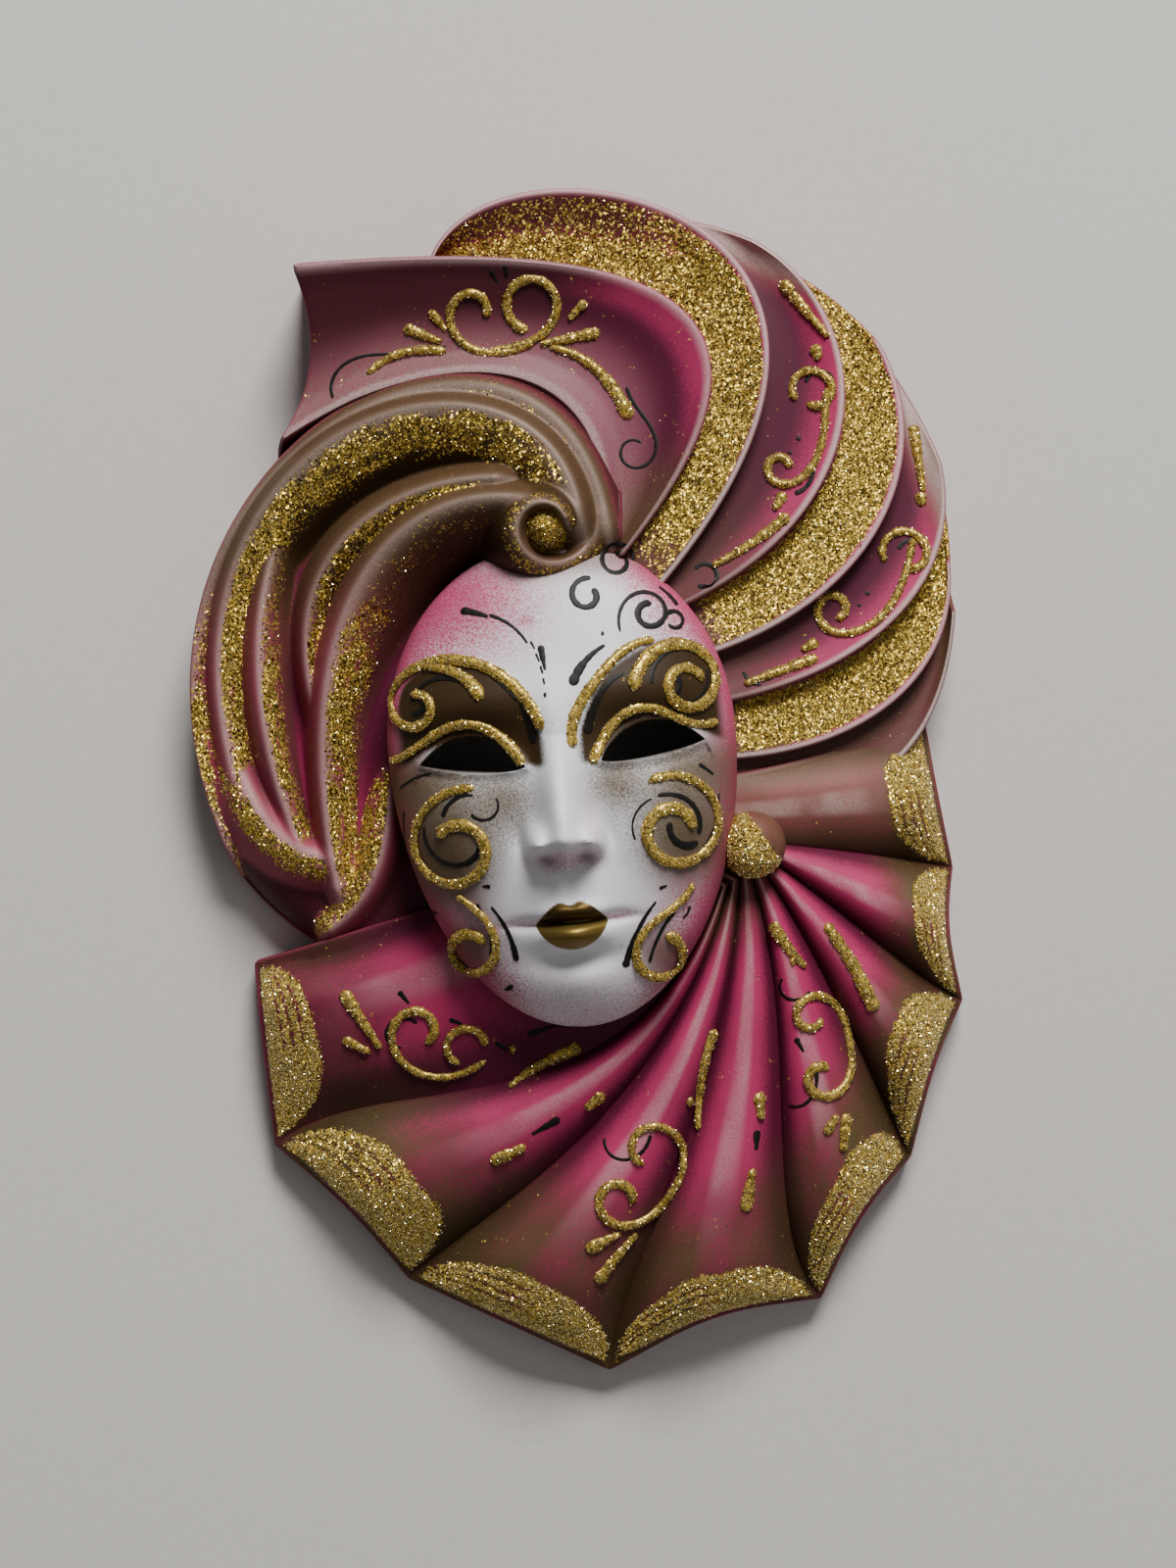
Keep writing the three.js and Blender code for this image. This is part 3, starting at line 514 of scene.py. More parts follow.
class MaskColours(bpy.types.PropertyGroup):
    """Colours of the paints, the glitter and the bare clay"""

    rose: colour("Rose", "Airbrushed rose of turban, hair and collar", "#ad2f5c")
    # Deep rose is sprayed maroon, and in troughs, creases and grooves it is also painted shade
    deep: colour("Deep rose", "Maroon sprayed into the troughs", "#4a0f27")
    # Pale rose is pale dusting and worn paint on the ridges, and also a painted highlight along crests
    pale: colour("Pale rose", "Pale dusting on the ridges", "#cbb5ad")
    white: colour("White", "White of the face", "#e4e3e6")
    bronze: colour("Bronze", "Bronze brown sprayed at the roots", "#58472d")
    # Umber is also painted shade: in the troughs of hair and collar, the nostrils, the mouth line, the
    # upper lip, the groove under the banner and the crown gold's upper left
    umber: colour("Umber", "Dark brown of the eye sockets", "#33230f")
    lip: colour("Lip gold", "Satin bronze gold of the lips", "#75602e")
    gold: colour("Gold", "Gold glitter", "#dab84e")
    black: colour("Black", "Black enamel lines", "#090807")
    bisque: colour("Bisque", "Bare fired clay inside", "#cfc3b2")
    floor: colour("Floor", "Pale studio floor", "#cfcac4")


def sizes():
    """The sizes that a user may change."""
    return bpy.context.scene.mask_sizes


def colours():
    """The colours that a user may change."""
    return bpy.context.scene.mask_colours


def unit(v):
    """Vectors scaled to length one along the last axis."""
    return v / np.maximum(np.linalg.norm(v, axis=-1, keepdims=True), 1e-9)


def mix(a, b, t):
    """The value between a and b at the share t."""
    return a + (b - a) * t


def ramp(x, start, end):
    """Smooth step that is 0 at start and 1 at end, which may be the lower of the two."""
    t = np.clip((x - start) / (end - start), 0, 1)
    return t * t * (3 - 2 * t)


def curve(line, t):
    """Plan points of a cubic curve: its four points weighted by the Bernstein terms of t."""
    p = np.asarray(line, float)
    t = np.asarray(t, float)[..., None]
    return (1 - t) ** 3 * p[0] + 3 * t * (1 - t) ** 2 * p[1] + 3 * t * t * (1 - t) * p[2] + t ** 3 * p[3]


def eased(xs, ys, x):
    """Smooth line through a short table: cubic steps between its rows, whose slope at a row is the
    harmonic mean of the chords beside it, and none where the table turns."""
    xs, ys = np.asarray(xs, float), np.asarray(ys, float)
    gap = np.diff(xs)
    chord = np.diff(ys) / gap
    slope = np.concatenate([chord[:1], np.zeros(len(xs) - 2), chord[-1:]])
    product = chord[:-1] * chord[1:]
    total = np.where(product > 0, chord[:-1] + chord[1:], 1)
    slope[1:-1] = np.where(product > 0, 2 * product / total, 0)
    i = np.clip(np.searchsorted(xs, x) - 1, 0, len(gap) - 1)
    t = np.clip((x - xs[i]) / gap[i], 0, 1)
    rise = ys[i] * (1 + 2 * t) * (1 - t) ** 2 + ys[i + 1] * t * t * (3 - 2 * t)
    return rise + gap[i] * (slope[i] * t * (1 - t) ** 2 - slope[i + 1] * t * t * (1 - t))


def three_step(values, t):
    """Smooth line through three values at t = 0, 1/2 and 1."""
    return eased((0, 0.5, 1), values, t)


def lattice(rows, cols):
    """Two parameter arrays over a grid of rows and columns."""
    return np.meshgrid(rows, cols, indexing="ij")


def joined(xy, z):
    """Points from plan places and heights."""
    return np.concatenate([xy, np.asarray(z, float)[..., None]], -1)


def drawn_in(top):
    """Grid drawn in towards the middle in plan by the rim's inset, for the hollow behind."""
    reach = np.linalg.norm(top[..., :2], axis=-1, keepdims=True)
    keep = 1 - RIM_INSET / np.maximum(reach, LEAST_REACH)
    return np.concatenate([top[..., :2] * keep, top[..., 2:]], -1)


def value_noise(x, y, seed):
    """Smooth random values between the whole numbers of two parameters, from 0 to 1."""
    table = np.random.default_rng(seed).random((NOISE_CELLS, NOISE_CELLS))
    i, j = np.floor(x).astype(int), np.floor(y).astype(int)
    fx, fy = ramp(x - i, 0, 1), ramp(y - j, 0, 1)
    corner = [[table[(i + a) % NOISE_CELLS, (j + b) % NOISE_CELLS] for b in (0, 1)] for a in (0, 1)]
    return mix(mix(corner[0][0], corner[1][0], fx), mix(corner[0][1], corner[1][1], fx), fy)


# Closed solids from grids

# paint holds a value for each point, marks one for each face
Solid = namedtuple("Solid", "points faces paint marks", defaults=({},))


def grid_faces(index):
    """Quads between the neighbours of a grid of point numbers, or of each grid in a stack."""
    near, far = index[..., :-1, :], index[..., 1:, :]
    return np.stack([near[..., :-1], far[..., :-1], far[..., 1:], near[..., 1:]], -1).reshape(-1, 4)


def block(top, paint, base=0.0, lip=0.0, cast=True):
    """Closed solid under a grid of points: its border turns over in a quarter circle of the lip's
    radius and goes straight down to one flat face at the base. Over the lip the paint of the border
    fades into the plain paint of the sides, whose faces are marked, as the bare rim is. A hollow
    isn't cast, and is bare all over."""
    flat = top.reshape(-1, 3)
    index = np.arange(len(flat)).reshape(top.shape[:2])
    loop = np.concatenate([index[:-1, 0], index[-1, :-1], index[:0:-1, -1], index[0, :0:-1]])
    edge = flat[loop]
    ahead = np.roll(edge, -1, 0)
    along = ahead - np.roll(edge, 1, 0)
    turn = np.sign(np.sum(edge[:, 0] * ahead[:, 1] - ahead[:, 0] * edge[:, 1]))
    out = turn * unit(np.stack([along[:, 1], -along[:, 0]], -1))
    rings = [
        joined(edge[:, :2] + out * lip * np.sin(angle), edge[:, 2] - lip * (1 - np.cos(angle)))
        for angle in (np.radians((30, 60, 90)) if lip else ())
    ]
    foot = rings[-1] if rings else edge
    rings.append(joined(foot[:, :2], np.full(len(edge), base)))
    chain = [loop, *(len(flat) + len(edge) * i + np.arange(len(edge)) for i in range(len(rings)))]
    walls = [np.stack([a, b, np.roll(b, -1), np.roll(a, -1)], -1) for a, b in zip(chain[:-1], chain[1:])]
    quads = np.concatenate([grid_faces(index), *walls])
    floor = chain[-1][::-1]
    if turn < 0:
        quads, floor = quads[:, ::-1], floor[::-1]
    kept = LIP_KEPT if lip else (1,)
    painted = {}
    for key, value in paint.items():
        value = np.broadcast_to(value, index.shape).ravel()
        fading = (mix(SIDES.get(key, 0), value[loop], share) for share in kept)
        painted[key] = np.concatenate([value, *fading])
    face = np.arange(len(quads) + 1)
    marks = {"bare": face >= 0}
    if cast:
        bare = face == len(quads)
        marks = {"bare": bare, "side": (face >= len(quads) - len(edge)) & ~bare}
        point = np.arange(len(flat) + len(rings) * len(edge))
        painted["made"] = point < len(flat) + len(rings) // 2 * len(edge)
    return Solid(np.concatenate([flat, *rings]), quads.tolist() + [floor.tolist()], painted, marks)


def round_block(rings, paint, base=0.0, cast=True):
    """Closed solid under rings of points that widen from a small first ring: the first ring is
    capped, the last goes straight down to the base, and the base is one flat face."""
    count, around = rings.shape[:2]
    flat = np.concatenate([rings.reshape(-1, 3), joined(rings[-1, :, :2], np.full(around, base))])
    index = np.arange(len(flat)).reshape(count + 1, around)
    index = np.concatenate([index, index[:, :1]], 1)
    faces = grid_faces(index).tolist()
    faces.append(index[0, :-1].tolist())
    faces.append(index[-1, :-1][::-1].tolist())
    source = np.concatenate([np.arange(count * around), (count - 1) * around + np.arange(around)])
    painted = {
        key: np.broadcast_to(value, (count, around)).ravel()[source] for key, value in paint.items()
    }
    marks = {"bare": np.arange(len(faces)) >= (len(faces) - 1 if cast else 0)}
    return Solid(flat, faces, painted, marks)


def loft(back, front, low, high, paint):
    """Closed solid between two plan outlines that run anticlockwise, one behind the other."""
    count = len(front)
    points = np.concatenate([joined(back, np.full(count, low)), joined(front, np.full(count, high))])
    here = np.arange(count)
    ahead = np.roll(here, -1)
    walls = np.stack([here, ahead, ahead + count, here + count], -1).tolist()
    painted = {key: np.full(2 * count, value) for key, value in paint.items()}
    return Solid(points, [*walls, here[::-1].tolist(), (here + count).tolist()], painted)


def make_object(name, solid, material=None):
    """An object at the origin whose mesh holds a solid in metres and its paint masks."""
    mesh = bpy.data.meshes.new(name)
    placed = (solid.points + np.append(CENTRING, 0)) * MM
    mesh.from_pydata(placed.tolist(), [], solid.faces)
    for domain, fields in (("POINT", solid.paint), ("FACE", solid.marks)):
        for key, values in fields.items():
            field = mesh.attributes.new(key, "FLOAT", domain)
            field.data.foreach_set("value", np.ascontiguousarray(values, np.float32))
    if material:
        mesh.materials.append(material)
    piece = bpy.data.objects.new(name, mesh)
    bpy.context.scene.collection.objects.link(piece)
    return piece


def combine(target, solid, operation):
    """Joins a solid to an object's mesh, or cuts it out of it, with Blender's manifold solver."""
    other = make_object("operand", solid)
    step = target.modifiers.new(operation, "BOOLEAN")
    step.operation = operation
    step.object = other
    step.solver = "MANIFOLD"
    graph = bpy.context.evaluated_depsgraph_get()
    result = bpy.data.meshes.new_from_object(target.evaluated_get(graph))
    target.modifiers.clear()
    before, spare = target.data, other.data
    target.data = result
    bpy.data.objects.remove(other)
    bpy.data.meshes.remove(before)
    bpy.data.meshes.remove(spare)
    if not result.polygons:
        raise RuntimeError(f"{target.name}: {operation} left nothing")


def values_of(mesh, key):
    """A mesh's attribute as an array, one value for each point."""
    values = np.zeros(len(mesh.vertices), np.float32)
    mesh.attributes[key].data.foreach_get("value", values)
    return values


def settle_paint(mesh):
    """Points made where two solids cut each other take the mean paint of the old points round them."""
    pairs = np.zeros(2 * len(mesh.edges), np.int32)
    mesh.edges.foreach_get("vertices", pairs)
    pairs = pairs.reshape(-1, 2)
    ends, others = np.concatenate([pairs, pairs[:, ::-1]]).T
    count = len(mesh.vertices)
    keys = [key for key in PAINTS if key in mesh.attributes]
    paint = {key: values_of(mesh, key) for key in keys}
    known = (values_of(mesh, "made") > 0.5).astype(float)
    for _ in range(SETTLE_ROUNDS):
        weight = np.bincount(ends, known[others], count)
        fresh = (known < 0.5) & (weight > 0)
        if not fresh.any():
            break
        for key in keys:
            mean = np.bincount(ends, known[others] * paint[key][others], count) / np.maximum(weight, 1)
            paint[key] = np.where(fresh, mean, paint[key]).astype(np.float32)
        known[fresh] = 1
    for key in keys:
        mesh.attributes[key].data.foreach_set("value", paint[key])
    mesh.attributes.remove(mesh.attributes["made"])


def masks(shape, **paint):
    """Every paint mask over a grid, those not given being nought, and the mark of an old point."""
    given = {key: np.clip(np.broadcast_to(value, shape), 0, 1) for key, value in paint.items()}
    return {key: given.get(key, np.zeros(shape)) for key in PAINTS} | {"made": np.ones(shape)}


def finish_piece(piece):
    """Smooth faces with sharp edges kept, and the piece's place in the frame."""
    piece.data.shade_smooth()
    piece.data.set_sharp_from_angle(angle=SHARP)
    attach(piece, BODY)
    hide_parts(NODE)


def cast_piece(name, solids, cuts=()):
    """One cast piece: its solids joined, the cuts taken out, and the paint settled."""
    piece = make_object(name, solids[0], finish(airbrushed_ceramic))
    for solid in solids[1:]:
        combine(piece, solid, "UNION")
    for cut in cuts:
        combine(piece, cut, "DIFFERENCE")
    settle_paint(piece.data)
    finish_piece(piece)


# The turban

def fold_plan(k, u, across):
    """Plan of fold k: straight across from the ridge before to its own, bowed at the outer end."""
    fold = FOLDS[k]
    before = FOLDS[k - 1].line if k else BANNER_LIP
    t = u * (1 + (ROOT_REACH if k else BANNER_REACH))
    outer = curve(fold.line, t)
    inner = curve(before, fold.start + (1 - fold.start) * t)
    width = outer - inner
    out = unit(np.stack([-width[..., 1], width[..., 0]], -1))
    bow = fold.swell * 4 * across * (1 - across) * np.maximum(0, 1 - 6 * u) * (across > 0)
    return inner + width * across[..., None] + out * bow[..., None]


def fold_rise(fold, u):
    """Height of a fold's crest over its trough, less towards the root."""
    return fold.rise * mix(1, RISE_AT_ROOT, u)


def fold_top(k, rows=150, cols=40):
    """Surface of fold k over u along it and across it: the crest's height less the rise that its
    cross profile leaves."""
    fold = FOLDS[k]
    table = (FOLD_ACROSS, FOLD_LIFT) if k else (BANNER_ACROSS, BANNER_LIFT)
    u, across = lattice(np.linspace(0, 1, rows), np.linspace(table[0][0], 1, cols if k else 2 * cols))
    crest = mix(fold.crest_tip, fold.crest_root, u)
    top = joined(fold_plan(k, u, across), crest - fold_rise(fold, u) * (1 - eased(*table, across)))
    return u, across, top


def fold_paint(k, u, across):
    """Airbrushed masks of a fold: maroon in the trough, partly painted shade, a pale ridge of worn
    paint and painted highlight, bronze at the root and cream at the outer end. Painted shade also
    darkens each gold band by the ridge before it and the crown gold at its upper left. The banner is
    dark above, greyed below and stays rose at its bend, with painted shade in the groove under its
    inner lip and worn paint and a painted highlight on that lip."""
    root = ramp(u, 0.66, 0.98)
    # Painted highlight, with worn paint: the pale line along each ridge
    ridge = ramp(across, 0.94, 1.0)
    if k == 0:
        # Painted shade on the drop into the groove under the banner's inner lip; worn paint and a painted
        # highlight on the lip
        drop = ramp(across, 0.05, 0.01)
        lip = ramp(across, 0.03, 0.06) * ramp(across, 0.16, 0.08)
        upper = ramp(across, 0.32, 0.7) * ramp(across, 1.0, 0.95)
        lower = ramp(across, 0.7, 0.2) * (1 - drop)
        bend = ramp(u, 0.36, 0.52) * ramp(u, 0.92, 0.72) * ramp(across, 0.74, 0.92)
        return masks(
            u.shape,
            deep=np.maximum((0.74 + 0.26 * upper) * (1 - 0.8 * bend), 0.8 * drop),
            pale=np.maximum(0.4 * ridge, np.maximum(0.45 * lip, 0.13 * lower)) * (1 - drop),
            bronze=np.maximum(0.75 * ramp(u, 0.82, 1.0), 0.3 * lower * ramp(u, 0.8, 0.35)),
            umber=np.maximum(0.45 * drop, 0.4 * upper * ramp(u, 0.6, 0.3)),
        )
    if FOLDS[k].glitter:
        gold = ramp(across, 0.05, 0.14) * ramp(across, 0.97, 0.9) * ramp(u, 1.0, 0.9)
        # Painted shade: darker at the crown gold's upper left, and by the ridge before each gold band
        shaded = ramp(u, 0.62, 0.34) * ramp(across, 0.28, 0.66) * (k == 1)
        return masks(
            u.shape,
            deep=np.maximum(0.7 * ramp(across, 0.25, 0.0), 0.9 * root),
            pale=0.75 * ridge,
            bronze=0.5 * root,
            umber=0.85 * shaded * (1 - ridge),
            gold=gold * (1 - 0.7 * shaded),
        )
    # Painted shade, with sprayed maroon, in the trough by the ridge before
    trough = ramp(across, 0.98, 0.4)
    outer = ramp(u, 0.32, 0.1)
    cream = ramp(u, 0.24, 0.04) * ramp(across, 0.0, 0.35)
    last = np.full(u.shape, float(k == len(FOLDS) - 1))
    return masks(
        u.shape,
        deep=np.maximum(trough * (1 - 0.6 * outer), 0.9 * np.maximum(root, last)),
        pale=np.maximum(0.75 * ridge * (1 - 0.6 * root), 0.6 * cream * (1 - last)),
        bronze=np.maximum.reduce([0.35 * root, 0.75 * outer, 0.45 * last]),
        umber=0.15 * np.maximum(ramp(across, 0.4, 0.0), root) * (1 - 0.7 * outer),
    )


@lru_cache
def turban_surfaces():
    """Surface and paint of every fold."""
    tops = [fold_top(k) for k in range(len(FOLDS))]
    return [(top, fold_paint(k, u, across)) for k, (u, across, top) in enumerate(tops)]


def turban_hollows():
    """Hollow behind each fold: its plan drawn in, under the trough by the wall."""
    for k, fold in enumerate(FOLDS):
        u, across = lattice(np.linspace(0.12, 1, 30), np.linspace(-0.2 if k else 0.3, 1, 5))
        high = mix(fold.crest_tip, fold.crest_root, u) - fold_rise(fold, u) - WALL
        yield drawn_in(joined(fold_plan(k, u, across), high))


# The hair

def bed_top(rows, across):
    """Surface of the hair's bed between its outer and inner lines, rising towards the face and
    bowed out at its lower end."""
    u, c = lattice(np.linspace(0, 1, rows), across)
    start, end = curve(BED_OUTER, u), curve(BED_INNER, u)
    run = unit(end - start)
    bow = BED_SWELL * 4 * c * (1 - c) * np.maximum(0, 5 * u - 4)
    plan = mix(start, end, c[..., None]) + np.stack([run[..., 1], -run[..., 0]], -1) * bow[..., None]
    high = mix(BED_OUT, mix(BED_IN, BED_END, ramp(u, 0.62, 1.0)), c ** 0.6)
    side = c * np.linalg.norm(end - start, axis=-1) + 20 * ramp(u, 0.8, 0.5)
    near = 0.85 * np.clip(1 - np.minimum(side, BED_LONG * (1 - u)) / BED_ROUND, 0, 1)
    return u, c, joined(plan, high - BED_ROUND * (1 - np.sqrt(1 - near ** 2)))


def strand_path(strand, steps=160):
    """Plan line of a strand, or of the curl: a spiral whose reach dies away as it turns."""
    t = np.linspace(0, 1, steps)
    if strand.line:
        return curve(strand.line, t)
    turn = CURL_TURN * t
    reach = CURL_IN + CURL_OUT * np.exp(-turn / CURL_FADE)
    angle = CURL_START - turn
    return CURL + reach[:, None] * np.stack([np.cos(angle), np.sin(angle)], -1)


def beside_path(path, plan):
    """For plan points the nearest place on a path: the share of it, the offset to its left and the
    distance past its ends."""
    flat = plan.reshape(-1, 2)
    apart = np.sum(flat ** 2, 1)[:, None] - 2 * flat @ path.T + np.sum(path ** 2, 1)
    nearest = np.argmin(apart, 1)
    step = np.gradient(path, axis=0)
    pace = np.linalg.norm(step, axis=1)
    ahead = (step / pace[:, None])[nearest]
    away = flat - path[nearest]
    run = np.sum(away * ahead, 1)
    offset = ahead[:, 0] * away[:, 1] - ahead[:, 1] * away[:, 0]
    past = np.where(((nearest == 0) & (run < 0)) | ((nearest == len(path) - 1) & (run > 0)), np.abs(run), 0)
    share = np.clip((nearest + run / pace[nearest]) / (len(path) - 1), 0, 1)
    return (field.reshape(plan.shape[:-1]) for field in (share, offset, past))


def strand_paint(strand, t, s, y):
    """Bronze above and rose below, painted shade in the trough, a painted highlight along the crest
    and streaks of glitter. The outermost strand is dark red where it turns under the banner, painted
    shade in the groove below the banner's lip."""
    low = ramp(y, 60, 22)
    # Painted highlight along the crest
    crest = np.exp(-(s / 0.24) ** 2)
    streak = value_noise(26 * t, 7 * s, len(strand.name))
    side, reach = s * np.sign(strand.band), abs(strand.band)
    flank = ramp(side, 0.0, 0.14) * ramp(side, reach, reach - 0.35)
    amount = mix(strand.top * ramp(t, 0.0, 0.12), strand.low, ramp(y, 50, 20))
    # Painted shade where the outer strand turns under the banner
    under = ramp(s, -0.35, -0.8) * (1 - low) * (strand.name == "outer")
    return masks(
        t.shape,
        # Painted shade: maroon in the trough below, umber in the trough above
        deep=np.maximum(0.8 * ramp(s, 0.4, 1.0) * low, 0.85 * under),
        pale=0.42 * crest * mix(0.55, 1, low),
        bronze=mix(0.95, 0.4, low) * (1 - under),
        umber=np.maximum(mix(0.4, 0.95, ramp(s, 0.2, 0.9)) * (1 - crest) * (1 - low), 0.6 * under),
        gold=flank * amount * (0.2 + 1.4 * streak),
    )


@lru_cache
def hair_surface():
    """Surface and paint of the hair: a soft maximum of the bed, the strands, the curl's roll and its
    button. A strand falls from its crest by a power of the offset over its width."""
    u, c, top = bed_top(HAIR_GRID[0], np.linspace(0, 1, HAIR_GRID[1]))
    plan = top[..., :2]
    heights = [top[..., 2]]
    bright = np.exp(-((u - 0.84) / 0.06) ** 2 - ((c - 0.55) / 0.2) ** 2)
    end = ramp(u, 0.84, 0.95)
    # Painted shade: the bed is dark red in the groove under the banner's lip, and its dark brown above is
    # partly painted shade between the strands
    under = ramp(c, 0.12, 0.04) * ramp(u, 0.6, 0.45)
    paints = [masks(
        u.shape,
        deep=0.95 * np.maximum(ramp(u, 0.35, 0.55), under) * (1 - 0.85 * bright),
        bronze=0.85 * ramp(u, 0.55, 0.35) * (1 - under),
        umber=np.maximum.reduce([0.75 * ramp(u, 0.5, 0.3) * (1 - under), 0.4 * end, 0.5 * under]),
    )]
    for strand in (*STRANDS, CURL_ROLL):
        t, offset, past = beside_path(strand_path(strand), plan)
        inside = three_step(strand.inside, t)
        s = np.where(offset < 0, offset / strand.outside, offset / inside)
        drop = np.where(s < 0, np.abs(s) ** OUTER_POWER, np.abs(s) ** INNER_POWER)
        heights.append(three_step(strand.crest, t) - strand.fall * (drop + (past / inside) ** 2))
        paints.append(strand_paint(strand, t, s, plan[..., 1]))
    apart = np.linalg.norm(plan - CURL, axis=-1) / BUTTON_REACH
    heights.append(BUTTON_TOP - BUTTON_FALL * apart ** 2)
    paints.append(masks(u.shape, bronze=0.9, gold=0.9))
    heights = np.stack(heights)
    peak = heights.max(0)
    high = peak + np.log(np.exp(STRAND_BLEND * (heights - peak)).sum(0)) / STRAND_BLEND
    weights = np.exp(PAINT_BLEND * (heights - peak))
    weights /= weights.sum(0)
    paint = {key: sum(w * p[key] for w, p in zip(weights, paints)) for key in paints[0]}
    return joined(plan, high), paint


def hair_hollow():
    """Hollow behind the hair: the bed drawn in and lowered by the wall."""
    return drawn_in(bed_top(40, np.linspace(0.06, 0.86, 8))[2] - np.array([0, 0, WALL]))


# The collar

def pleat_plan(column, u):
    """Plan of the collar: a lattice between neighbouring creases, its edge drawn in by the scallop."""
    k = np.minimum(np.floor(column + 1e-6).astype(int), PLEATS - 1)
    across = np.maximum(0, column - k)
    scallop = np.array([crease.scallop for crease in CREASES])[k]
    lines = CREASE_LINES.transpose(1, 0, 2)
    start = unit(curve(lines, np.full(1, 0.12)) - lines[0])
    first, second = (curve(lines[:, i], u) for i in (k, k + 1))
    inward = unit(mix(start[k], start[k + 1], across[..., None]))
    draw = scallop * np.sin(np.pi * across) * (1 - u) ** 5
    return k, across, mix(first, second, across[..., None]) + inward * draw[..., None]


def collar_top(rows=130, steps=46):
    """Surface of the collar: over each pleat the crease's height plus a rounded wave. A last row
    tucks the roots under the face."""
    along = np.append(np.linspace(0, 1, rows) ** 1.5, 1)
    u, column = lattice(along, np.linspace(0, PLEATS, PLEATS * steps + 1))
    k, across, plan = pleat_plan(column, u)
    plan[-1] = mix(plan[-1], FACE_CENTRE, ROOT_TUCK)
    wave = np.maximum(np.sin(np.pi * across), 0) ** PLEAT_ROUND
    rolled = across * (1 + ROLL_DIP * np.exp(-((u - ROLL_AT) / ROLL_REACH) ** 2))
    wave = np.where(k < PLEATS - 1, wave, eased(*LAST_PLEAT, np.minimum(rolled, 1)))
    high = eased(PLEAT_ALONG, PLEAT_CREASE, u) + eased(PLEAT_ALONG, PLEAT_RAISE, u) * wave
    return u, k, across, wave, joined(plan, high)


def from_edge(k, u):
    """Distance from the collar's edge in millimetres, near that edge."""
    return u * 3 * np.linalg.norm(CREASE_LINES[:, 1] - CREASE_LINES[:, 0], axis=-1)[k]


def collar_paint(u, k, across, wave):
    """Rose crests with a faint pale line of pale dusting and painted highlight, creases darkened with
    maroon that is partly painted shade, bronze towards the edge with umber as painted shade in its
    troughs, and a combed crescent of glitter inside the edge of each pleat."""
    noise = value_noise(5 * (k + across), 14 * u, 3)
    bulge = np.sqrt(np.maximum(0, 1 - np.abs((across - 0.5) / 0.48) ** 3.5))
    lobe = np.array([crease.lobe for crease in CREASES])[k]
    inward = from_edge(k, u)
    depth = inward / np.maximum(lobe * bulge * (0.92 + 0.16 * noise), 0.1)
    combed = sum(np.exp(-((depth - share) / COMBED_HALF) ** 2) for share in COMBED)
    combed = np.minimum(combed * ramp(across, 0.35, 0.55), 1)
    gold = ramp(depth, 1.05, 0.93) * ramp(bulge, 0.1, 0.35) * ramp(inward, 0.4 * noise, 1 + noise)
    # Painted highlight, with pale dusting, along each crest
    crest = ramp(wave, 0.91, 1.0)
    outer = ramp(u, 0.5, 0.2)
    first = np.where(k == 0, 0.75, 0)
    plum = np.where(k == PLEATS - 1, 0.3, 1)
    browned = outer * plum * (0.85 - 0.35 * crest) * (0.6 + 0.7 * noise)
    # Painted shade: maroon in the creases and umber in the troughs of the outer part
    return masks(
        u.shape,
        deep=np.maximum(0.95 * ramp(wave, 0.95, 0.3) * ramp(u, 0.0, 0.2), (0.8 - 0.3 * plum) * outer),
        pale=0.3 * crest * ramp(u, 0.2, 0.5) * (0.3 + noise),
        bronze=np.maximum.reduce([0.75 * ramp(u, 0.84, 1.0), browned, first]),
        umber=0.7 * outer * ramp(wave, 0.95, 0.1),
        gold=gold * (1 - 0.9 * combed),
    )


@lru_cache
def collar_surface():
    """Surface and paint of the collar."""
    u, k, across, wave, top = collar_top()
    return top, collar_paint(u, k, across, wave)


def collar_hollow():
    """Hollow behind the collar: its plan drawn in, under the creases by the wall."""
    u, column = lattice(np.linspace(0, 1, 14), np.linspace(0.15, PLEATS - 0.35, 4 * PLEATS + 1))
    plan = pleat_plan(column, u)[2]
    return drawn_in(joined(plan, np.maximum(2, eased(PLEAT_ALONG, PLEAT_CREASE, u) - WALL + 1)))


def ball_rings():
    """The ball at the neck: a half sphere on a straight foot."""
    angle, around = lattice(np.linspace(0.02, np.pi / 2, 40), np.linspace(0, 2 * np.pi, 73)[:-1])
    reach = BALL_RADIUS * np.sin(angle)
    plan = np.stack([BALL_X + reach * np.cos(around), BALL_Y + reach * np.sin(around)], -1)
    bare = reach * np.cos(around - math.radians(35)) / BALL_RADIUS
    gold = ramp(bare, 0.5, 0.3)
    return joined(plan, BALL_Z + BALL_RADIUS * np.cos(angle)), masks(angle.shape, bronze=0.85, gold=gold)


# The face

def on_face(x, y):
    """Plan points of the casting from the face's own leaning frame."""
    c, s = math.cos(FACE_LEAN), math.sin(FACE_LEAN)
    return FACE_CENTRE + np.stack([c * x - s * y, s * x + c * y], -1)


def soft_forms(forms, x, y):
    """Sum of soft round forms: the height of each, times e to minus the squared shares of its reach
    that a place lies from it."""
    placed = [(f, f.x + side * f.apart) for f in forms for side in ((-1, 1) if f.apart else (0,))]
    return sum(f.high * np.exp(-((x - at) / f.rx) ** 2 - ((y - f.y) / f.ry) ** 2) for f, at in placed)


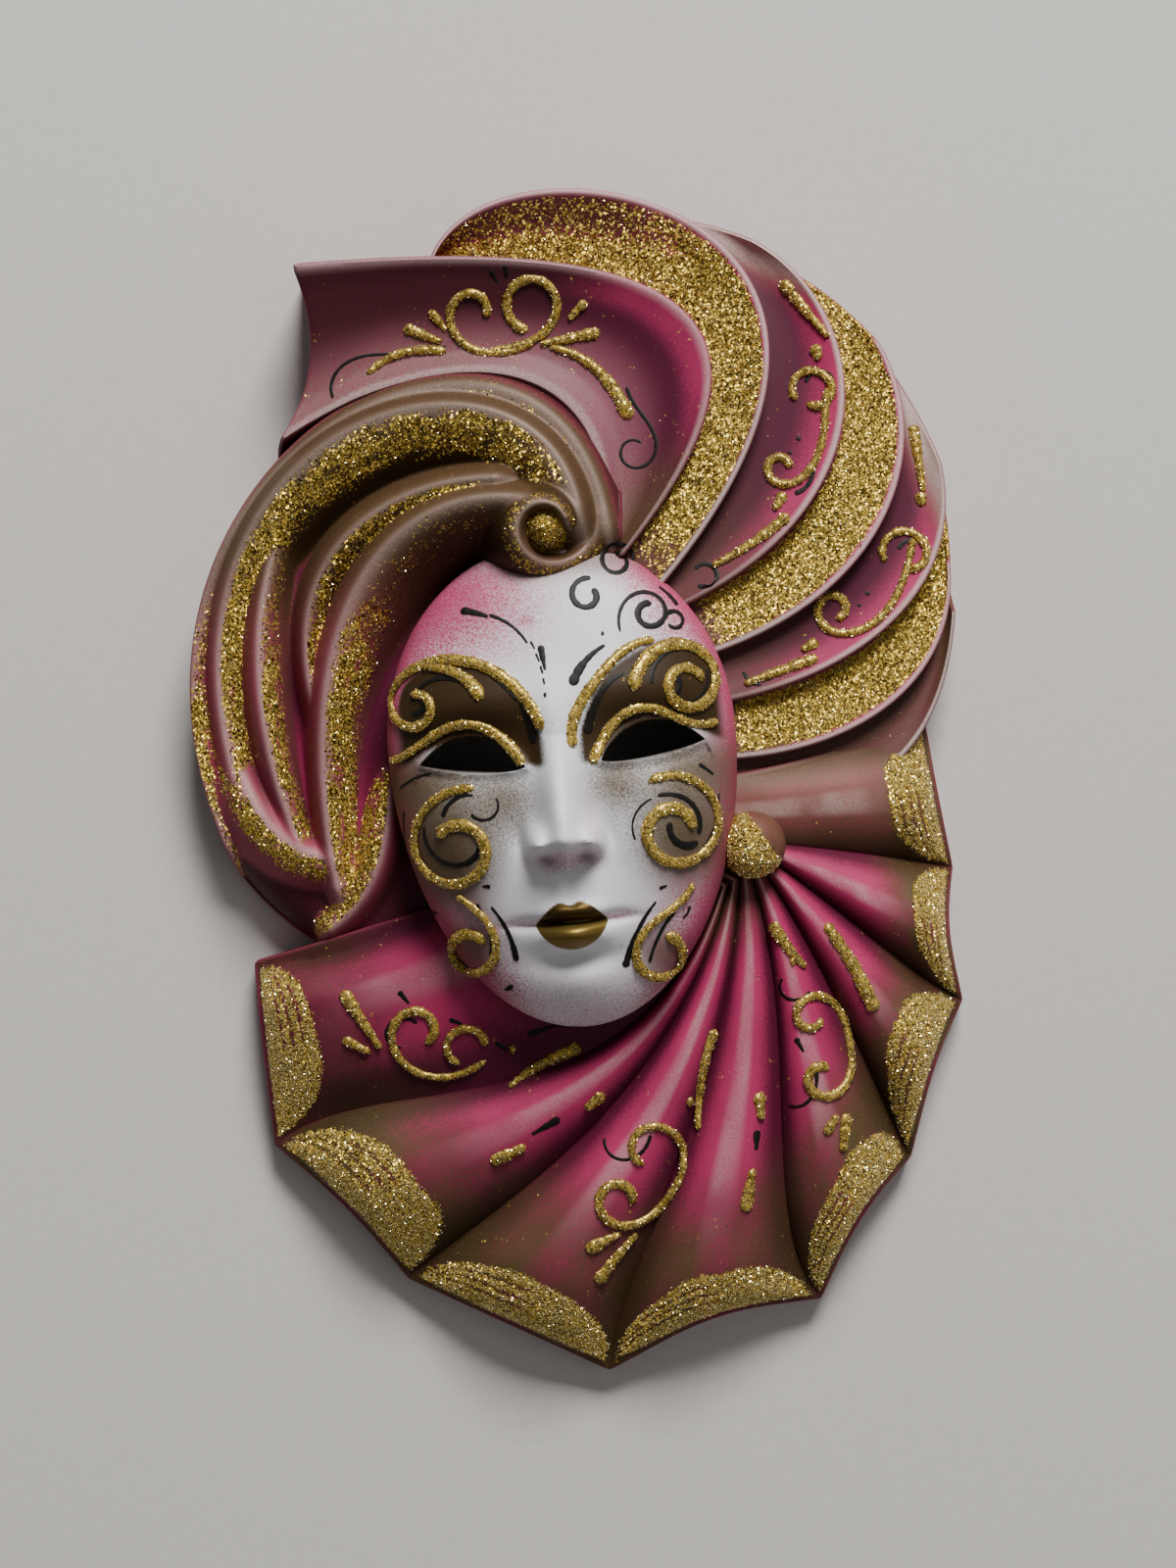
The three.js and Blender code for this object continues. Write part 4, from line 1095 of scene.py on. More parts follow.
def nose_height(x, y):
    """The nose: a ridge that grows to a rounded tip between two wings, all turned under by one
    short slope."""
    along = (NOSE_ROOT_Y - y) / (NOSE_ROOT_Y - NOSE_TIP_Y)
    inside = np.clip(along, 0, 1.1)
    above = np.exp(-(np.minimum(along, 0) / NOSE_FADE) ** 2)
    side = np.abs(x - AXIS_X)
    below = ramp((along - NOSE_TURN + NOSE_BOW * side ** 2) / NOSE_UNDER, 1, 0)
    ridge = np.exp(-(side / mix(NOSE_ROOT_HALF, NOSE_TIP_HALF, inside ** 2)) ** NOSE_SQUARE)
    wings = np.exp(-((side - NOSE_WING_X) / NOSE_WING_RX) ** 2 - ((y - NOSE_TIP_Y) / NOSE_WING_RY) ** 2)
    return (eased(NOSE_ALONG, NOSE_HIGH, inside) * above * ridge + NOSE_WING * wings) * below


def eye_outline(side, steps=40, lowered=0.0):
    """Almond of an eye in the face's frame: an upper and a lower cubic curve, tilted. lowered moves
    the middle of the lower curve down."""
    t = np.linspace(0, 1, steps, endpoint=False)
    inner, outer, low = (-EYE_HALF, 0), (EYE_HALF, 0), -1.3 * EYE_DOWN - lowered
    upper = (inner, (-0.6 * EYE_HALF, 1.2 * EYE_UP), (0.4 * EYE_HALF, 1.5 * EYE_UP), outer)
    lower = (outer, (0.4 * EYE_HALF, low), (-0.4 * EYE_HALF, low), inner)
    p = np.concatenate([curve(upper, t), curve(lower, t)])
    c, s = math.cos(EYE_TILT), math.sin(EYE_TILT)
    return np.stack([side * (EYE_X + c * p[:, 0] - s * p[:, 1]), EYE_Y + s * p[:, 0] + c * p[:, 1]], -1)


def eye_cut(side):
    """Cutter of an eye that narrows to the back from below, so that the lower rim shows."""
    back, front = (on_face(*eye_outline(side, lowered=low).T)[::-side] for low in (-EYE_FLARE, EYE_FLARE))
    return loft(back, front, EYE_BACK, EYE_FRONT, {"white": 1.0, "made": 1.0})


def lid_height(x, y):
    """A low roll of clay round each eye, by the distance to its outline."""
    flat = np.stack([x, y], -1)
    near = np.full(x.shape, np.inf)
    for side in (-1, 1):
        _, offset, past = beside_path(eye_outline(side), flat)
        near = np.minimum(near, np.hypot(offset, past))
    return LID_HIGH * np.exp(-(near / LID_REACH) ** 2)


@lru_cache
def face_surface():
    """Surface and paint of the face over a square grid drawn onto a disc and stretched to an egg: a
    dome with its forms and nose, faded out at the contour."""
    square = lattice(*(np.linspace(-1, 1, count) for count in FACE_GRID))
    a, b = (mix(t, np.sin(np.pi / 2 * t), 0.7) for t in square)
    y, x = a * np.sqrt(1 - b * b / 2), b * np.sqrt(1 - a * a / 2)
    rho = np.minimum(1, np.hypot(x, y))
    x, y = FACE_HALF * x, FACE_WIDEST + np.where(y > 0, FACE_TO_CROWN, FACE_TO_CHIN) * y
    forms = soft_forms(FACE_FORMS.values(), x, y)
    fade = np.minimum(1, 4 * (1 - rho))
    dome = FACE_DOME * np.sqrt(1 - rho * rho)
    high = FACE_EDGE + dome + fade * (forms + nose_height(x, y) + lid_height(x, y))
    return joined(on_face(x, y), high), face_paint(rho, x, y)


def sprayed(patches, x, y):
    """Cover of soft round patches of paint: one less the share that their summed coats leave bare."""
    return 1 - np.exp(-COATS * soft_forms(patches, x, y))


def lip_share(x, y):
    """How far a place lies inside the lips: a half is their edge and a step of 1/6 is 1 mm."""
    dx, dy = np.abs(x - AXIS_X), y - MOUTH_Y
    fall = np.maximum(dx - LIP_PEAK, 0) / (LIP_HALF - LIP_PEAK)
    over = LIP_OVER * (1 - fall ** 1.5) - LIP_DIP * np.exp(-(dx / 1.7) ** 2)
    under = LIP_UNDER * np.maximum(0, 1 - (dx / LIP_HALF) ** 2) ** 0.65
    return np.clip(0.5 + np.minimum(over - dy, dy + under) / 6, 0, 1)


def face_paint(rho, x, y):
    """White with rose at the edge, bronze on the cheeks, umber sockets and gold lips, with painted
    shade in the nostrils, along the mouth line and on the upper lip.
    """
    edge = 0.95 * ramp(rho, 0.7, 0.98) * mix(0.3, 1.0, ramp(np.abs(x), 8, 26))
    rose = np.clip(np.maximum(sprayed(ROSE_PATCHES, x, y), edge), 0, 0.97)
    away = np.abs(x)
    socket = ramp(eased(SOCKET_X, SOCKET_TOP, away) - y, -1.2, 1.6)
    socket = socket * ramp(y - eased(SOCKET_X, SOCKET_BASE, away), -1.5, 0.5)
    socket = socket * ramp(away, 3.2, 5.5) * ramp(away, 41, 38)
    # Painted shade in the nostrils
    nostrils = soft_forms([NOSTRIL_SHADE], x, y)
    # Painted shade along the mouth line
    mouth = np.exp(-((y - MOUTH_Y) / 0.55) ** 2) * ramp(np.abs(x - AXIS_X), 8.8, 7.8)
    lips = lip_share(x, y)
    # Painted shade on the upper lip, which faces down
    upper = 0.8 * ramp(lips, *LIP_EDGE) * ramp(y - MOUTH_Y, -0.3, 0.6)
    return masks(
        x.shape,
        white=1 - rose,
        bronze=sprayed(BRONZE_PATCHES, x, y),
        umber=np.maximum.reduce([socket, nostrils, 0.8 * mouth, upper]),
        lip=lips,
    )


def face_hollow():
    """Hollow behind the face: the egg less the wall, under a lower dome, opening to a skirt below that
    joins it to the hollows round it."""
    share, angle = lattice(np.linspace(0.02, 1, 30), np.linspace(0, 2 * np.pi, 81)[:-1])
    rho = np.sin(np.pi / 2 * share ** 0.85)
    keep = 1 - WALL / FACE_HALF
    reach = np.where(np.sin(angle) > 0, FACE_TO_CROWN, FACE_TO_CHIN)
    x = FACE_HALF * rho * np.cos(angle)
    y = FACE_WIDEST + reach * rho * np.sin(angle)
    dome = (FACE_DOME - 2) * np.sqrt(np.maximum(0, 1 - rho * rho))
    high = FACE_EDGE - WALL - 2 + dome + 0.35 * nose_height(x, y)
    under = joined(on_face(keep * x, FACE_WIDEST + keep * (y - FACE_WIDEST)), high)
    skirt = on_face(SKIRT * x[-1:], FACE_WIDEST + SKIRT * (y[-1:] - FACE_WIDEST))
    return np.concatenate([under, joined(skirt, np.full(skirt.shape[:2], SKIRT_Z))])


# Relief of the painted front, for what lies on it

class Relief:
    """Heights of the front over its plan on a square grid, and the normals of a softened copy."""

    CELL = 0.5
    LOW = np.array([-112.0, -160.0])
    SHAPE = (640, 448)
    FILLED, SOFTENED = 3, 2
    MOST_SUNK = 0.15

    def __init__(self, tops):
        """The highest point of the tops in each cell of the grid, gaps filled from the cells beside."""
        self.high = np.full(self.SHAPE, -np.inf)
        for top in tops:
            points = self.refined(top).reshape(-1, 3)
            cell = np.floor((points[:, :2] - self.LOW) / self.CELL).astype(int)
            np.maximum.at(self.high, (cell[:, 1], cell[:, 0]), points[:, 2])
        for _ in range(self.FILLED):
            self.high = np.where(np.isinf(self.high), self.neighbours(self.high).max(0), self.high)
        self.high = np.where(np.isinf(self.high), 0, self.high)
        soft = self.high
        for _ in range(self.SOFTENED):
            soft = self.neighbours(soft).mean(0)
        slope = np.gradient(soft, self.CELL)
        self.normal = unit(np.stack([-slope[1], -slope[0], np.ones_like(soft)], -1))
        self.high = np.maximum(self.neighbours(self.high).mean(0), self.high - self.MOST_SUNK)

    @staticmethod
    def refined(top, times=4):
        """A grid with more points between its own, by straight lines along both ways."""
        for axis in (0, 1):
            top = np.moveaxis(top, axis, 0)
            t = np.linspace(0, len(top) - 1, times * (len(top) - 1) + 1)
            i = np.minimum(t.astype(int), len(top) - 2)
            top = mix(top[i], top[i + 1], (t - i).reshape(-1, 1, 1))
            top = np.moveaxis(top, 0, axis)
        return top

    @staticmethod
    def neighbours(field):
        """The field and its eight shifted copies."""
        return np.stack([np.roll(field, (i, j), (0, 1)) for i in (-1, 0, 1) for j in (-1, 0, 1)])

    def at(self, plan):
        """Height and normal at plan points, between the four cells round each."""
        place = (plan - self.LOW) / self.CELL - 0.5
        i = np.clip(np.floor(place).astype(int), 0, np.array(self.SHAPE[::-1]) - 2)
        fx, fy = np.moveaxis(place - i, -1, 0)
        high, normal = 0, 0
        for dx, wx in ((0, 1 - fx), (1, fx)):
            for dy, wy in ((0, 1 - fy), (1, fy)):
                cell = (i[..., 1] + dy, i[..., 0] + dx)
                high = high + wx * wy * self.high[cell]
                normal = normal + (wx * wy)[..., None] * self.normal[cell]
        return high, unit(normal)


def front_tops():
    """Every surface of the front as a grid, the ball with its first column repeated."""
    ball = ball_rings()[0]
    yield np.concatenate([ball, ball[:, :1]], 1)
    for top, _ in (face_surface(), hair_surface(), collar_surface(), *turban_surfaces()):
        yield top


@lru_cache
def front_relief():
    """The relief of the whole front, worked out once."""
    return Relief(front_tops())


# Strokes and glitter

def stroke_paths(strokes):
    """Plan paths of strokes: the heading is the start's plus the bend summed along the length, and
    the place is the start's plus the headings summed."""
    column = {key: np.array([getattr(s, key) for s in strokes], float)[:, None] for key in Stroke._fields}
    s = np.linspace(0, 1, STROKE_STEPS)
    first, middle, last = np.moveaxis(column["bends"], -1, 0)
    bend = np.where(s < 0.5, mix(first, middle, 2 * s), mix(middle, last, 2 * s - 1))
    step = column["length"] / (STROKE_STEPS - 1)
    turned = np.cumsum((bend[:, 1:] + bend[:, :-1]) / 2 * step, 1)
    heading = np.radians(column["heading"] + np.pad(turned, ((0, 0), (1, 0))))
    course = (heading[:, 1:] + heading[:, :-1]) / 2
    run = np.stack([np.cos(course), np.sin(course)], -1) * step[..., None]
    start = np.stack([column["x"], column["y"]], -1)
    plan = start + np.pad(np.cumsum(run, 1), ((0, 0), (1, 0), (0, 0)))
    width = mix(column["wide_a"], column["wide_b"], s)
    return plan, width, column["length"]


def beads(plan, width, lengths, relief, high, sink, rng):
    """Rounded beads along plan paths: an oval section stood on the relief's normal, its width and
    height wavering a little and rounded off at both ends."""
    count, steps = width.shape
    s = np.linspace(0, 1, steps)
    phase = rng.uniform(0, 2 * np.pi, (3, count, 1))
    waver = sum(np.sin(lengths * s * rate + p) for rate, p in zip(WAVER_RATES, phase)) / 3
    half = width / 2 * (1 + WAVER_WIDE * waver)
    from_end = np.minimum(s, 1 - s) * lengths
    tip = np.sqrt(np.maximum(0.02, 1 - np.clip(1 - from_end / np.maximum(half, 1e-3), 0, 1) ** 2))
    z, normal = relief.at(plan)
    centre = joined(plan, z)
    along = unit(np.gradient(centre, axis=1))
    across = unit(np.cross(normal, along))
    angle = np.linspace(0, 2 * np.pi, SECTION, endpoint=False)
    up = np.where(np.sin(angle) > 0, high * np.sin(angle), sink * np.sin(angle))
    reach = (half * tip)[..., None] * np.cos(angle)
    rise = (tip * (1 + WAVER_HIGH * waver) * np.minimum(1, half / FULL_HALF))[..., None] * up
    return centre[:, :, None] + across[:, :, None] * reach[..., None] + normal[:, :, None] * rise[..., None]


def bead_solid(tubes):
    """Closed tubes from arrays of sections, with both ends capped."""
    count, steps, around = tubes.shape[:3]
    index = np.arange(tubes[..., 0].size).reshape(count, steps, around)
    wrapped = np.concatenate([index, index[:, :, :1]], 2)
    sides = grid_faces(wrapped.swapaxes(1, 2))
    faces = sides.tolist() + index[:, 0, ::-1].tolist() + index[:, -1].tolist()
    return Solid(tubes.reshape(-1, 3), faces, {})


def scattered(top, weight, density, rng):
    """Points and normals spread over a grid's cells, by each cell's area times its mean weight."""
    a, b, c, d = top[:-1, :-1], top[1:, :-1], top[1:, 1:], top[:-1, 1:]
    normal = np.cross(c - a, d - b)
    area = np.linalg.norm(normal, axis=-1) / 2
    share = (weight[:-1, :-1] + weight[1:, :-1] + weight[1:, 1:] + weight[:-1, 1:]) / 4
    cells = np.repeat(np.arange(area.size), rng.poisson((area * share * density).ravel()))
    s, t = rng.random((2, len(cells), 1))
    a, b, c, d = (corner.reshape(-1, 3)[cells] for corner in (a, b, c, d))
    points = mix(mix(a, b, s), mix(d, c, s), t)
    normal = unit(normal.reshape(-1, 3)[cells])
    return points, normal * np.sign(normal[:, 2:] + 1e-9)


def grain_solid(points, normals, radius, rng, dimmest=0.0):
    """Four-faced grains of glitter, each turned at random and half sunk in its glue."""
    q = unit(rng.normal(size=(len(points), 4)))
    w, x, y, z = q.T
    turn = np.stack([
        np.stack([1 - 2 * (y * y + z * z), 2 * (x * y - z * w), 2 * (x * z + y * w)], -1),
        np.stack([2 * (x * y + z * w), 1 - 2 * (x * x + z * z), 2 * (y * z - x * w)], -1),
        np.stack([2 * (x * z - y * w), 2 * (y * z + x * w), 1 - 2 * (x * x + y * y)], -1),
    ], 1)
    scale = radius * rng.uniform(*GRAIN_SPREAD, (len(points), 1, 1))
    corners = np.einsum("nij,kj->nki", turn, GRAIN_CORNERS) * scale
    placed = points[:, None] + normals[:, None] * GRAIN_PROUD * radius + corners
    faces = (4 * np.arange(len(points))[:, None, None] + GRAIN_FACES).reshape(-1, 3)
    tone = np.repeat(mix(dimmest, 1, rng.random(len(points))), 4)
    return Solid(placed.reshape(-1, 3), faces.tolist(), {"tone": tone})


# Materials

def fill(tree, made, sockets):
    """Fills a node's sockets with values or links."""
    for key, value in sockets.items():
        if isinstance(value, bpy.types.NodeSocket):
            tree.links.new(value, made.inputs[key])
        else:
            made.inputs[key].default_value = value


def node(tree, kind, output, sockets=None, **settings):
    """Adds a node, sets its properties, fills its sockets, and returns the output asked for."""
    made = tree.nodes.new(f"ShaderNode{kind}")
    for key, value in settings.items():
        setattr(made, key, value)
    fill(tree, made, sockets or {})
    return made.outputs[output]


def rgba(value):
    """A colour with full cover."""
    return (*value, 1.0)


def finish(make):
    """The material named for the function that adds its nodes, made when it is first asked for."""
    material = bpy.data.materials.get(make.__name__)
    if material is None:
        material = bpy.data.materials.new(make.__name__)
        material.use_nodes = True
        make(material.node_tree, material.node_tree.nodes["Principled BSDF"])
    return material


def gold_flakes(tree, chance, full, gap):
    """Colour of flakes from the dark of a gap to gold, reached where a flake's chance is full."""
    bright = node(tree, "MapRange", "Result", {"Value": chance, "From Max": full})
    return node(tree, "Mix", "Result", {
        "Factor": bright, "A": rgba(linear(gap)), "B": rgba(colours().gold),
    }, data_type="RGBA")


def mottled(tree, millimetres, detail, first, second):
    """Colour that drifts between two others in soft spots of a real size."""
    place = node(tree, "TexCoord", "Object")
    spots = node(tree, "TexNoise", "Fac", {
        "Vector": place, "Scale": 1 / (millimetres * MM), "Detail": detail,
    })
    return node(tree, "Mix", "Result", {
        "Factor": spots, "A": rgba(first), "B": rgba(second),
    }, data_type="RGBA")


def airbrushed_ceramic(tree, shader):
    """Airbrushed matt paint on fired clay: each paint lies over the one before where its mask and
    the droplets of the spray say so, and the bands hold gold glitter in clear glue."""
    paint = colours()
    place = node(tree, "TexCoord", "Object")
    drops = node(tree, "TexNoise", "Fac", {
        "Vector": place, "Scale": 1 / sizes().speckle, "Detail": 1.0, "Roughness": 0.6,
    })
    cloud = node(tree, "TexNoise", "Fac", {"Vector": place, "Scale": 1 / (CLOUD * MM), "Detail": 3.0})
    dusk = node(tree, "MapRange", "Result", {
        "Value": cloud, "From Min": 0.35, "From Max": 0.75, "To Max": 0.3,
    })
    coats = [(dusk, rgba(paint.deep))]
    side, bare = (node(tree, "Attribute", "Fac", attribute_name=key) for key in ("side", "bare"))
    plain = node(tree, "Math", 0, {0: side, 1: bare}, operation="MAXIMUM")
    mask = {}
    for key in PAINTS:
        value = node(tree, "Attribute", "Fac", attribute_name=key)
        mask[key] = node(tree, "Mix", "Result", {"Factor": plain, "A": value, "B": SIDES.get(key, 0.0)})
    mask["lip"] = node(tree, "MapRange", "Result", {
        "Value": mask["lip"], "From Min": LIP_EDGE[0], "From Max": LIP_EDGE[1],
    })
    centred = node(tree, "Math", 0, {0: drops, 1: 0.5}, operation="SUBTRACT")
    # Some coats carry painted shade and painted highlights as well as paint, as their masks say
    for key, grainy in GRAINY.items():
        # Droplets show most where a paint is half there: mask plus spread times mask times rest
        rest = node(tree, "Math", 0, {0: 1.0, 1: mask[key]}, operation="SUBTRACT")
        half = node(tree, "Math", 0, {0: mask[key], 1: rest}, operation="MULTIPLY")
        spread = node(tree, "Math", 0, {0: centred, 1: grainy}, operation="MULTIPLY")
        terms = {0: half, 1: spread, 2: mask[key]}
        amount = node(tree, "Math", 0, terms, operation="MULTIPLY_ADD", use_clamp=True)
        coats.append((amount, rgba(getattr(paint, key))))
    cells = node(tree, "TexVoronoi", "Color", {"Vector": place, "Scale": 1 / (FLAKE * MM)})
    pick = node(tree, "SeparateColor", 0, {"Color": cells}).node.outputs
    worn = node(tree, "TexNoise", "Fac", {"Vector": place, "Scale": 1 / (WORN * MM), "Detail": 4.0})
    cover = mask["gold"]
    for chance, share in ((pick["Red"], FLAKE_SHARE), (worn, WORN_SHARE)):
        cover = node(tree, "Math", 0, {0: chance, 1: share, 2: cover}, operation="MULTIPLY_ADD")
    glitter = node(tree, "MapRange", "Result", {
        "Value": cover, "From Min": GLITTER_LIMIT[0], "From Max": GLITTER_LIMIT[1],
    })
    coats.append((glitter, gold_flakes(tree, pick["Green"], BAND_FULL, BAND_GAP)))
    coats.append((bare, rgba(paint.bisque)))
    shade = rgba(paint.rose)
    for amount, coat in coats:
        shade = node(tree, "Mix", "Result", {"Factor": amount, "A": shade, "B": coat}, data_type="RGBA")
    metal = 0.0
    for part, share in (
        (glitter, GLITTER_METAL), (mask["bronze"], BRONZE_METAL), (mask["lip"], LIP_METAL),
    ):
        terms = {0: part, 1: share, 2: metal}
        metal = node(tree, "Math", 0, terms, operation="MULTIPLY_ADD", use_clamp=True)
    gloss = node(tree, "MapRange", "Result", {"Value": metal, "To Min": MATT, "To Max": SATIN})
    grit = node(tree, "Bump", "Normal", {"Strength": 0.25, "Distance": SPRAY_GRIT * MM, "Height": drops})
    lean = node(tree, "Math", 0, {0: glitter, 1: 1.3}, operation="MULTIPLY")
    tilt = node(tree, "VectorMath", 0, {0: cells, 1: (0.5, 0.5, 0.5)}, operation="SUBTRACT")
    tilt = node(tree, "VectorMath", 0, {0: tilt, "Scale": lean}, operation="SCALE")
    normal = node(tree, "VectorMath", 0, {0: grit, 1: tilt}, operation="ADD")
    normal = node(tree, "VectorMath", 0, {0: normal}, operation="NORMALIZE")
    fill(tree, shader, {
        "Base Color": shade, "Metallic": metal, "Roughness": gloss, "Normal": normal,
        "Specular IOR Level": 0.2,
    })


def gold_glitter_glue(tree, shader):
    """Gold glitter in dried clear glue: a grainy bead whose cells are bright gold or dark gaps."""
    place = node(tree, "TexCoord", "Object")
    cells = node(tree, "TexVoronoi", "Color", {"Vector": place, "Scale": 1 / (GLUE_FLAKE * MM)})
    pick = node(tree, "SeparateColor", 0, {"Color": cells}).node.outputs
    fill(tree, shader, {
        "Base Color": gold_flakes(tree, pick["Green"], GLUE_FULL, GLUE_GAP),
        "Normal": node(tree, "Bump", "Normal", {
            "Strength": 1.0, "Distance": GLUE_GRIT * MM, "Height": pick["Blue"],
        }),
        "Metallic": GLITTER_METAL, "Roughness": 0.38,
    })


def gold_glitter_film(tree, shader):
    """Cut film grains of gold glitter: polished facets, each grain a darker or a paler gold."""
    tone = node(tree, "Attribute", "Fac", attribute_name="tone")
    shade = node(tree, "Mix", "Result", {
        "Factor": tone, "A": rgba(linear(FILM_DARK)), "B": rgba(linear(FILM_PALE)),
    }, data_type="RGBA")
    fill(tree, shader, {"Base Color": shade, "Metallic": 0.75, "Roughness": 0.16})


def black_enamel(tree, shader):
    """Black enamel laid with a fine brush: a satin line, a little browner where it is thin."""
    shade = mottled(tree, BRUSH_FLOW, 2.0, colours().black, linear(ENAMEL_THIN))
    fill(tree, shader, {"Base Color": shade, "Roughness": 0.55, "Specular IOR Level": 0.25})


def studio_paper(tree, shader):
    """Matt pale paper with a faint tooth."""
    shade = mottled(tree, PAPER_TOOTH, 4.0, colours().floor, linear(PAPER_SHADE))
    fill(tree, shader, {"Base Color": shade, "Roughness": 0.85})


# Pieces

@lru_cache
def hollow_solid():
    """The hollow behind the whole mask, as one object's mesh read back into a solid. Each part's
    base lies at its own depth, so that no two faces share a plane."""
    solids = [block(top, {}, UNDER_RIM - 0.2 * i, cast=False) for i, top in enumerate(turban_hollows())]
    solids.append(block(hair_hollow(), {}, UNDER_RIM - 3, cast=False))
    solids.append(block(collar_hollow(), {}, UNDER_RIM - 4, cast=False))
    solids.append(round_block(face_hollow(), {}, UNDER_RIM - 5, cast=False))
    piece = make_object("hollow", solids[0])
    for solid in solids[1:]:
        combine(piece, solid, "UNION")
    mesh = piece.data
    points = np.zeros(3 * len(mesh.vertices), np.float32)
    mesh.vertices.foreach_get("co", points)
    faces = [list(face.vertices) for face in mesh.polygons]
    points = points.reshape(-1, 3) / MM - np.append(CENTRING, 0)
    bpy.data.objects.remove(piece)
    bpy.data.meshes.remove(mesh)
    return Solid(points, faces, {}, {"bare": np.ones(len(faces))})


def cast_block(region, surface):
    """The casting under a surface of a region, down to that region's rim."""
    return block(*surface, RIMS[region], sizes().lip / MM)


class MASK_OT_turban(bpy.types.Operator):
    """Builds the pleated turban with its banner and fan"""

    bl_idname = "mask.turban"
    bl_label = "Turban"

    def execute(self, context):
        solids = [cast_block("turban", surface) for surface in turban_surfaces()]
        cast_piece("turban", solids, [hollow_solid()])
        return {"FINISHED"}


class MASK_OT_hair(bpy.types.Operator):
    """Builds the wave of hair with its curl"""

    bl_idname = "mask.hair"
    bl_label = "Hair"

    def execute(self, context):
        cast_piece("hair", [cast_block("hair", hair_surface())], [hollow_solid()])
        return {"FINISHED"}


class MASK_OT_collar(bpy.types.Operator):
    """Builds the pleated collar with its scalloped edge"""

    bl_idname = "mask.collar"
    bl_label = "Collar"

    def execute(self, context):
        cast_piece("collar", [cast_block("collar", collar_surface())], [hollow_solid()])
        return {"FINISHED"}


class MASK_OT_face(bpy.types.Operator):
    """Builds the face with its open eyes, and the ball at the neck"""

    bl_idname = "mask.face"
    bl_label = "Face and ball"

    def execute(self, context):
        face = block(*face_surface(), RIMS["face"])
        cast_piece("face", [face], [hollow_solid(), eye_cut(-1), eye_cut(1)])
        cast_piece("neck_ball", [round_block(*ball_rings(), BALL_FOOT)])
        return {"FINISHED"}


def stroke_piece(name, strokes, high, material, rng):
    """A group of strokes as one piece. Returns the sections, for the glitter on them."""
    plan, width, lengths = stroke_paths(strokes)
    tubes = beads(plan, width, lengths, front_relief(), high / MM, sizes().sink / MM, rng)
    finish_piece(make_object(name, bead_solid(tubes), material))
    return tubes


def glitter_piece(name, surfaces, density, rng, sifted=False):
    """Grains over grids by their weights as one piece, sifted of those under another surface."""
    found = [scattered(top, weight, density, rng) for top, weight in surfaces]
    points, normals = (np.concatenate(part) for part in zip(*found))
    if sifted:
        shown = points[:, 2] > front_relief().at(points[:, :2])[0] - HIDDEN_DEPTH
        points, normals = points[shown], normals[shown]
    solid = grain_solid(points, normals, sizes().grain / MM, rng, DIMMEST.get(name, 0))
    finish_piece(make_object(name, solid, finish(gold_glitter_film)))


class MASK_OT_strokes(bpy.types.Operator):
    """Builds the scrolls of glitter glue and the black enamel lines"""

    bl_idname = "mask.strokes"
    bl_label = "Scrolls and lines"

    def execute(self, context):
        rng = np.random.default_rng(SEED)
        glue, black = finish(gold_glitter_glue), finish(black_enamel)
        for region, scrolls, lines in (
            ("turban", GLUE_TURBAN, ENAMEL_TURBAN),
            ("face", GLUE_FACE, ENAMEL_FACE),
            ("collar", GLUE_COLLAR, ENAMEL_COLLAR),
        ):
            tubes = stroke_piece(f"{region}_scrolls", scrolls, sizes().glue_high, glue, rng)
            stroke_piece(f"{region}_lines", lines, sizes().enamel_high, black, rng)
            upper = tubes[:, :, : SECTION // 2 + 1]
            surfaces = [(one, np.ones(one.shape[:2])) for one in upper]
            glitter_piece(f"{region}_scroll_glitter", surfaces, sizes().glue_density, rng)
        return {"FINISHED"}


class MASK_OT_glitter(bpy.types.Operator):
    """Scatters the glitter over the bands, the locks, the lobes and the ball"""

    bl_idname = "mask.glitter"
    bl_label = "Glitter"

    def execute(self, context):
        rng = np.random.default_rng(SEED + 1)
        for name, surfaces in (
            ("turban_glitter", turban_surfaces()),
            ("hair_glitter", [hair_surface()]),
            ("collar_glitter", [collar_surface(), ball_rings()]),
        ):
            weighted = [(top, paint["gold"] ** GLITTER_POWER) for top, paint in surfaces]
            thick = sizes().band_density * THICKER.get(name, 1)
            glitter_piece(name, weighted, thick, rng, sifted=True)
        return {"FINISHED"}


def area_light(name, place, size, power):
    """A soft square light at a place, turned to the mask."""
    data = bpy.data.lights.new(name, "AREA")
    data.size = size
    data.energy = power
    light = bpy.data.objects.new(name, data)
    light.location = place
    ray = np.subtract(LIT, place)
    tilt = math.acos(-ray[2] / np.linalg.norm(ray))
    light.rotation_euler = (tilt, 0, math.atan2(ray[0], -ray[1]) + math.pi)
    bpy.context.scene.collection.objects.link(light)


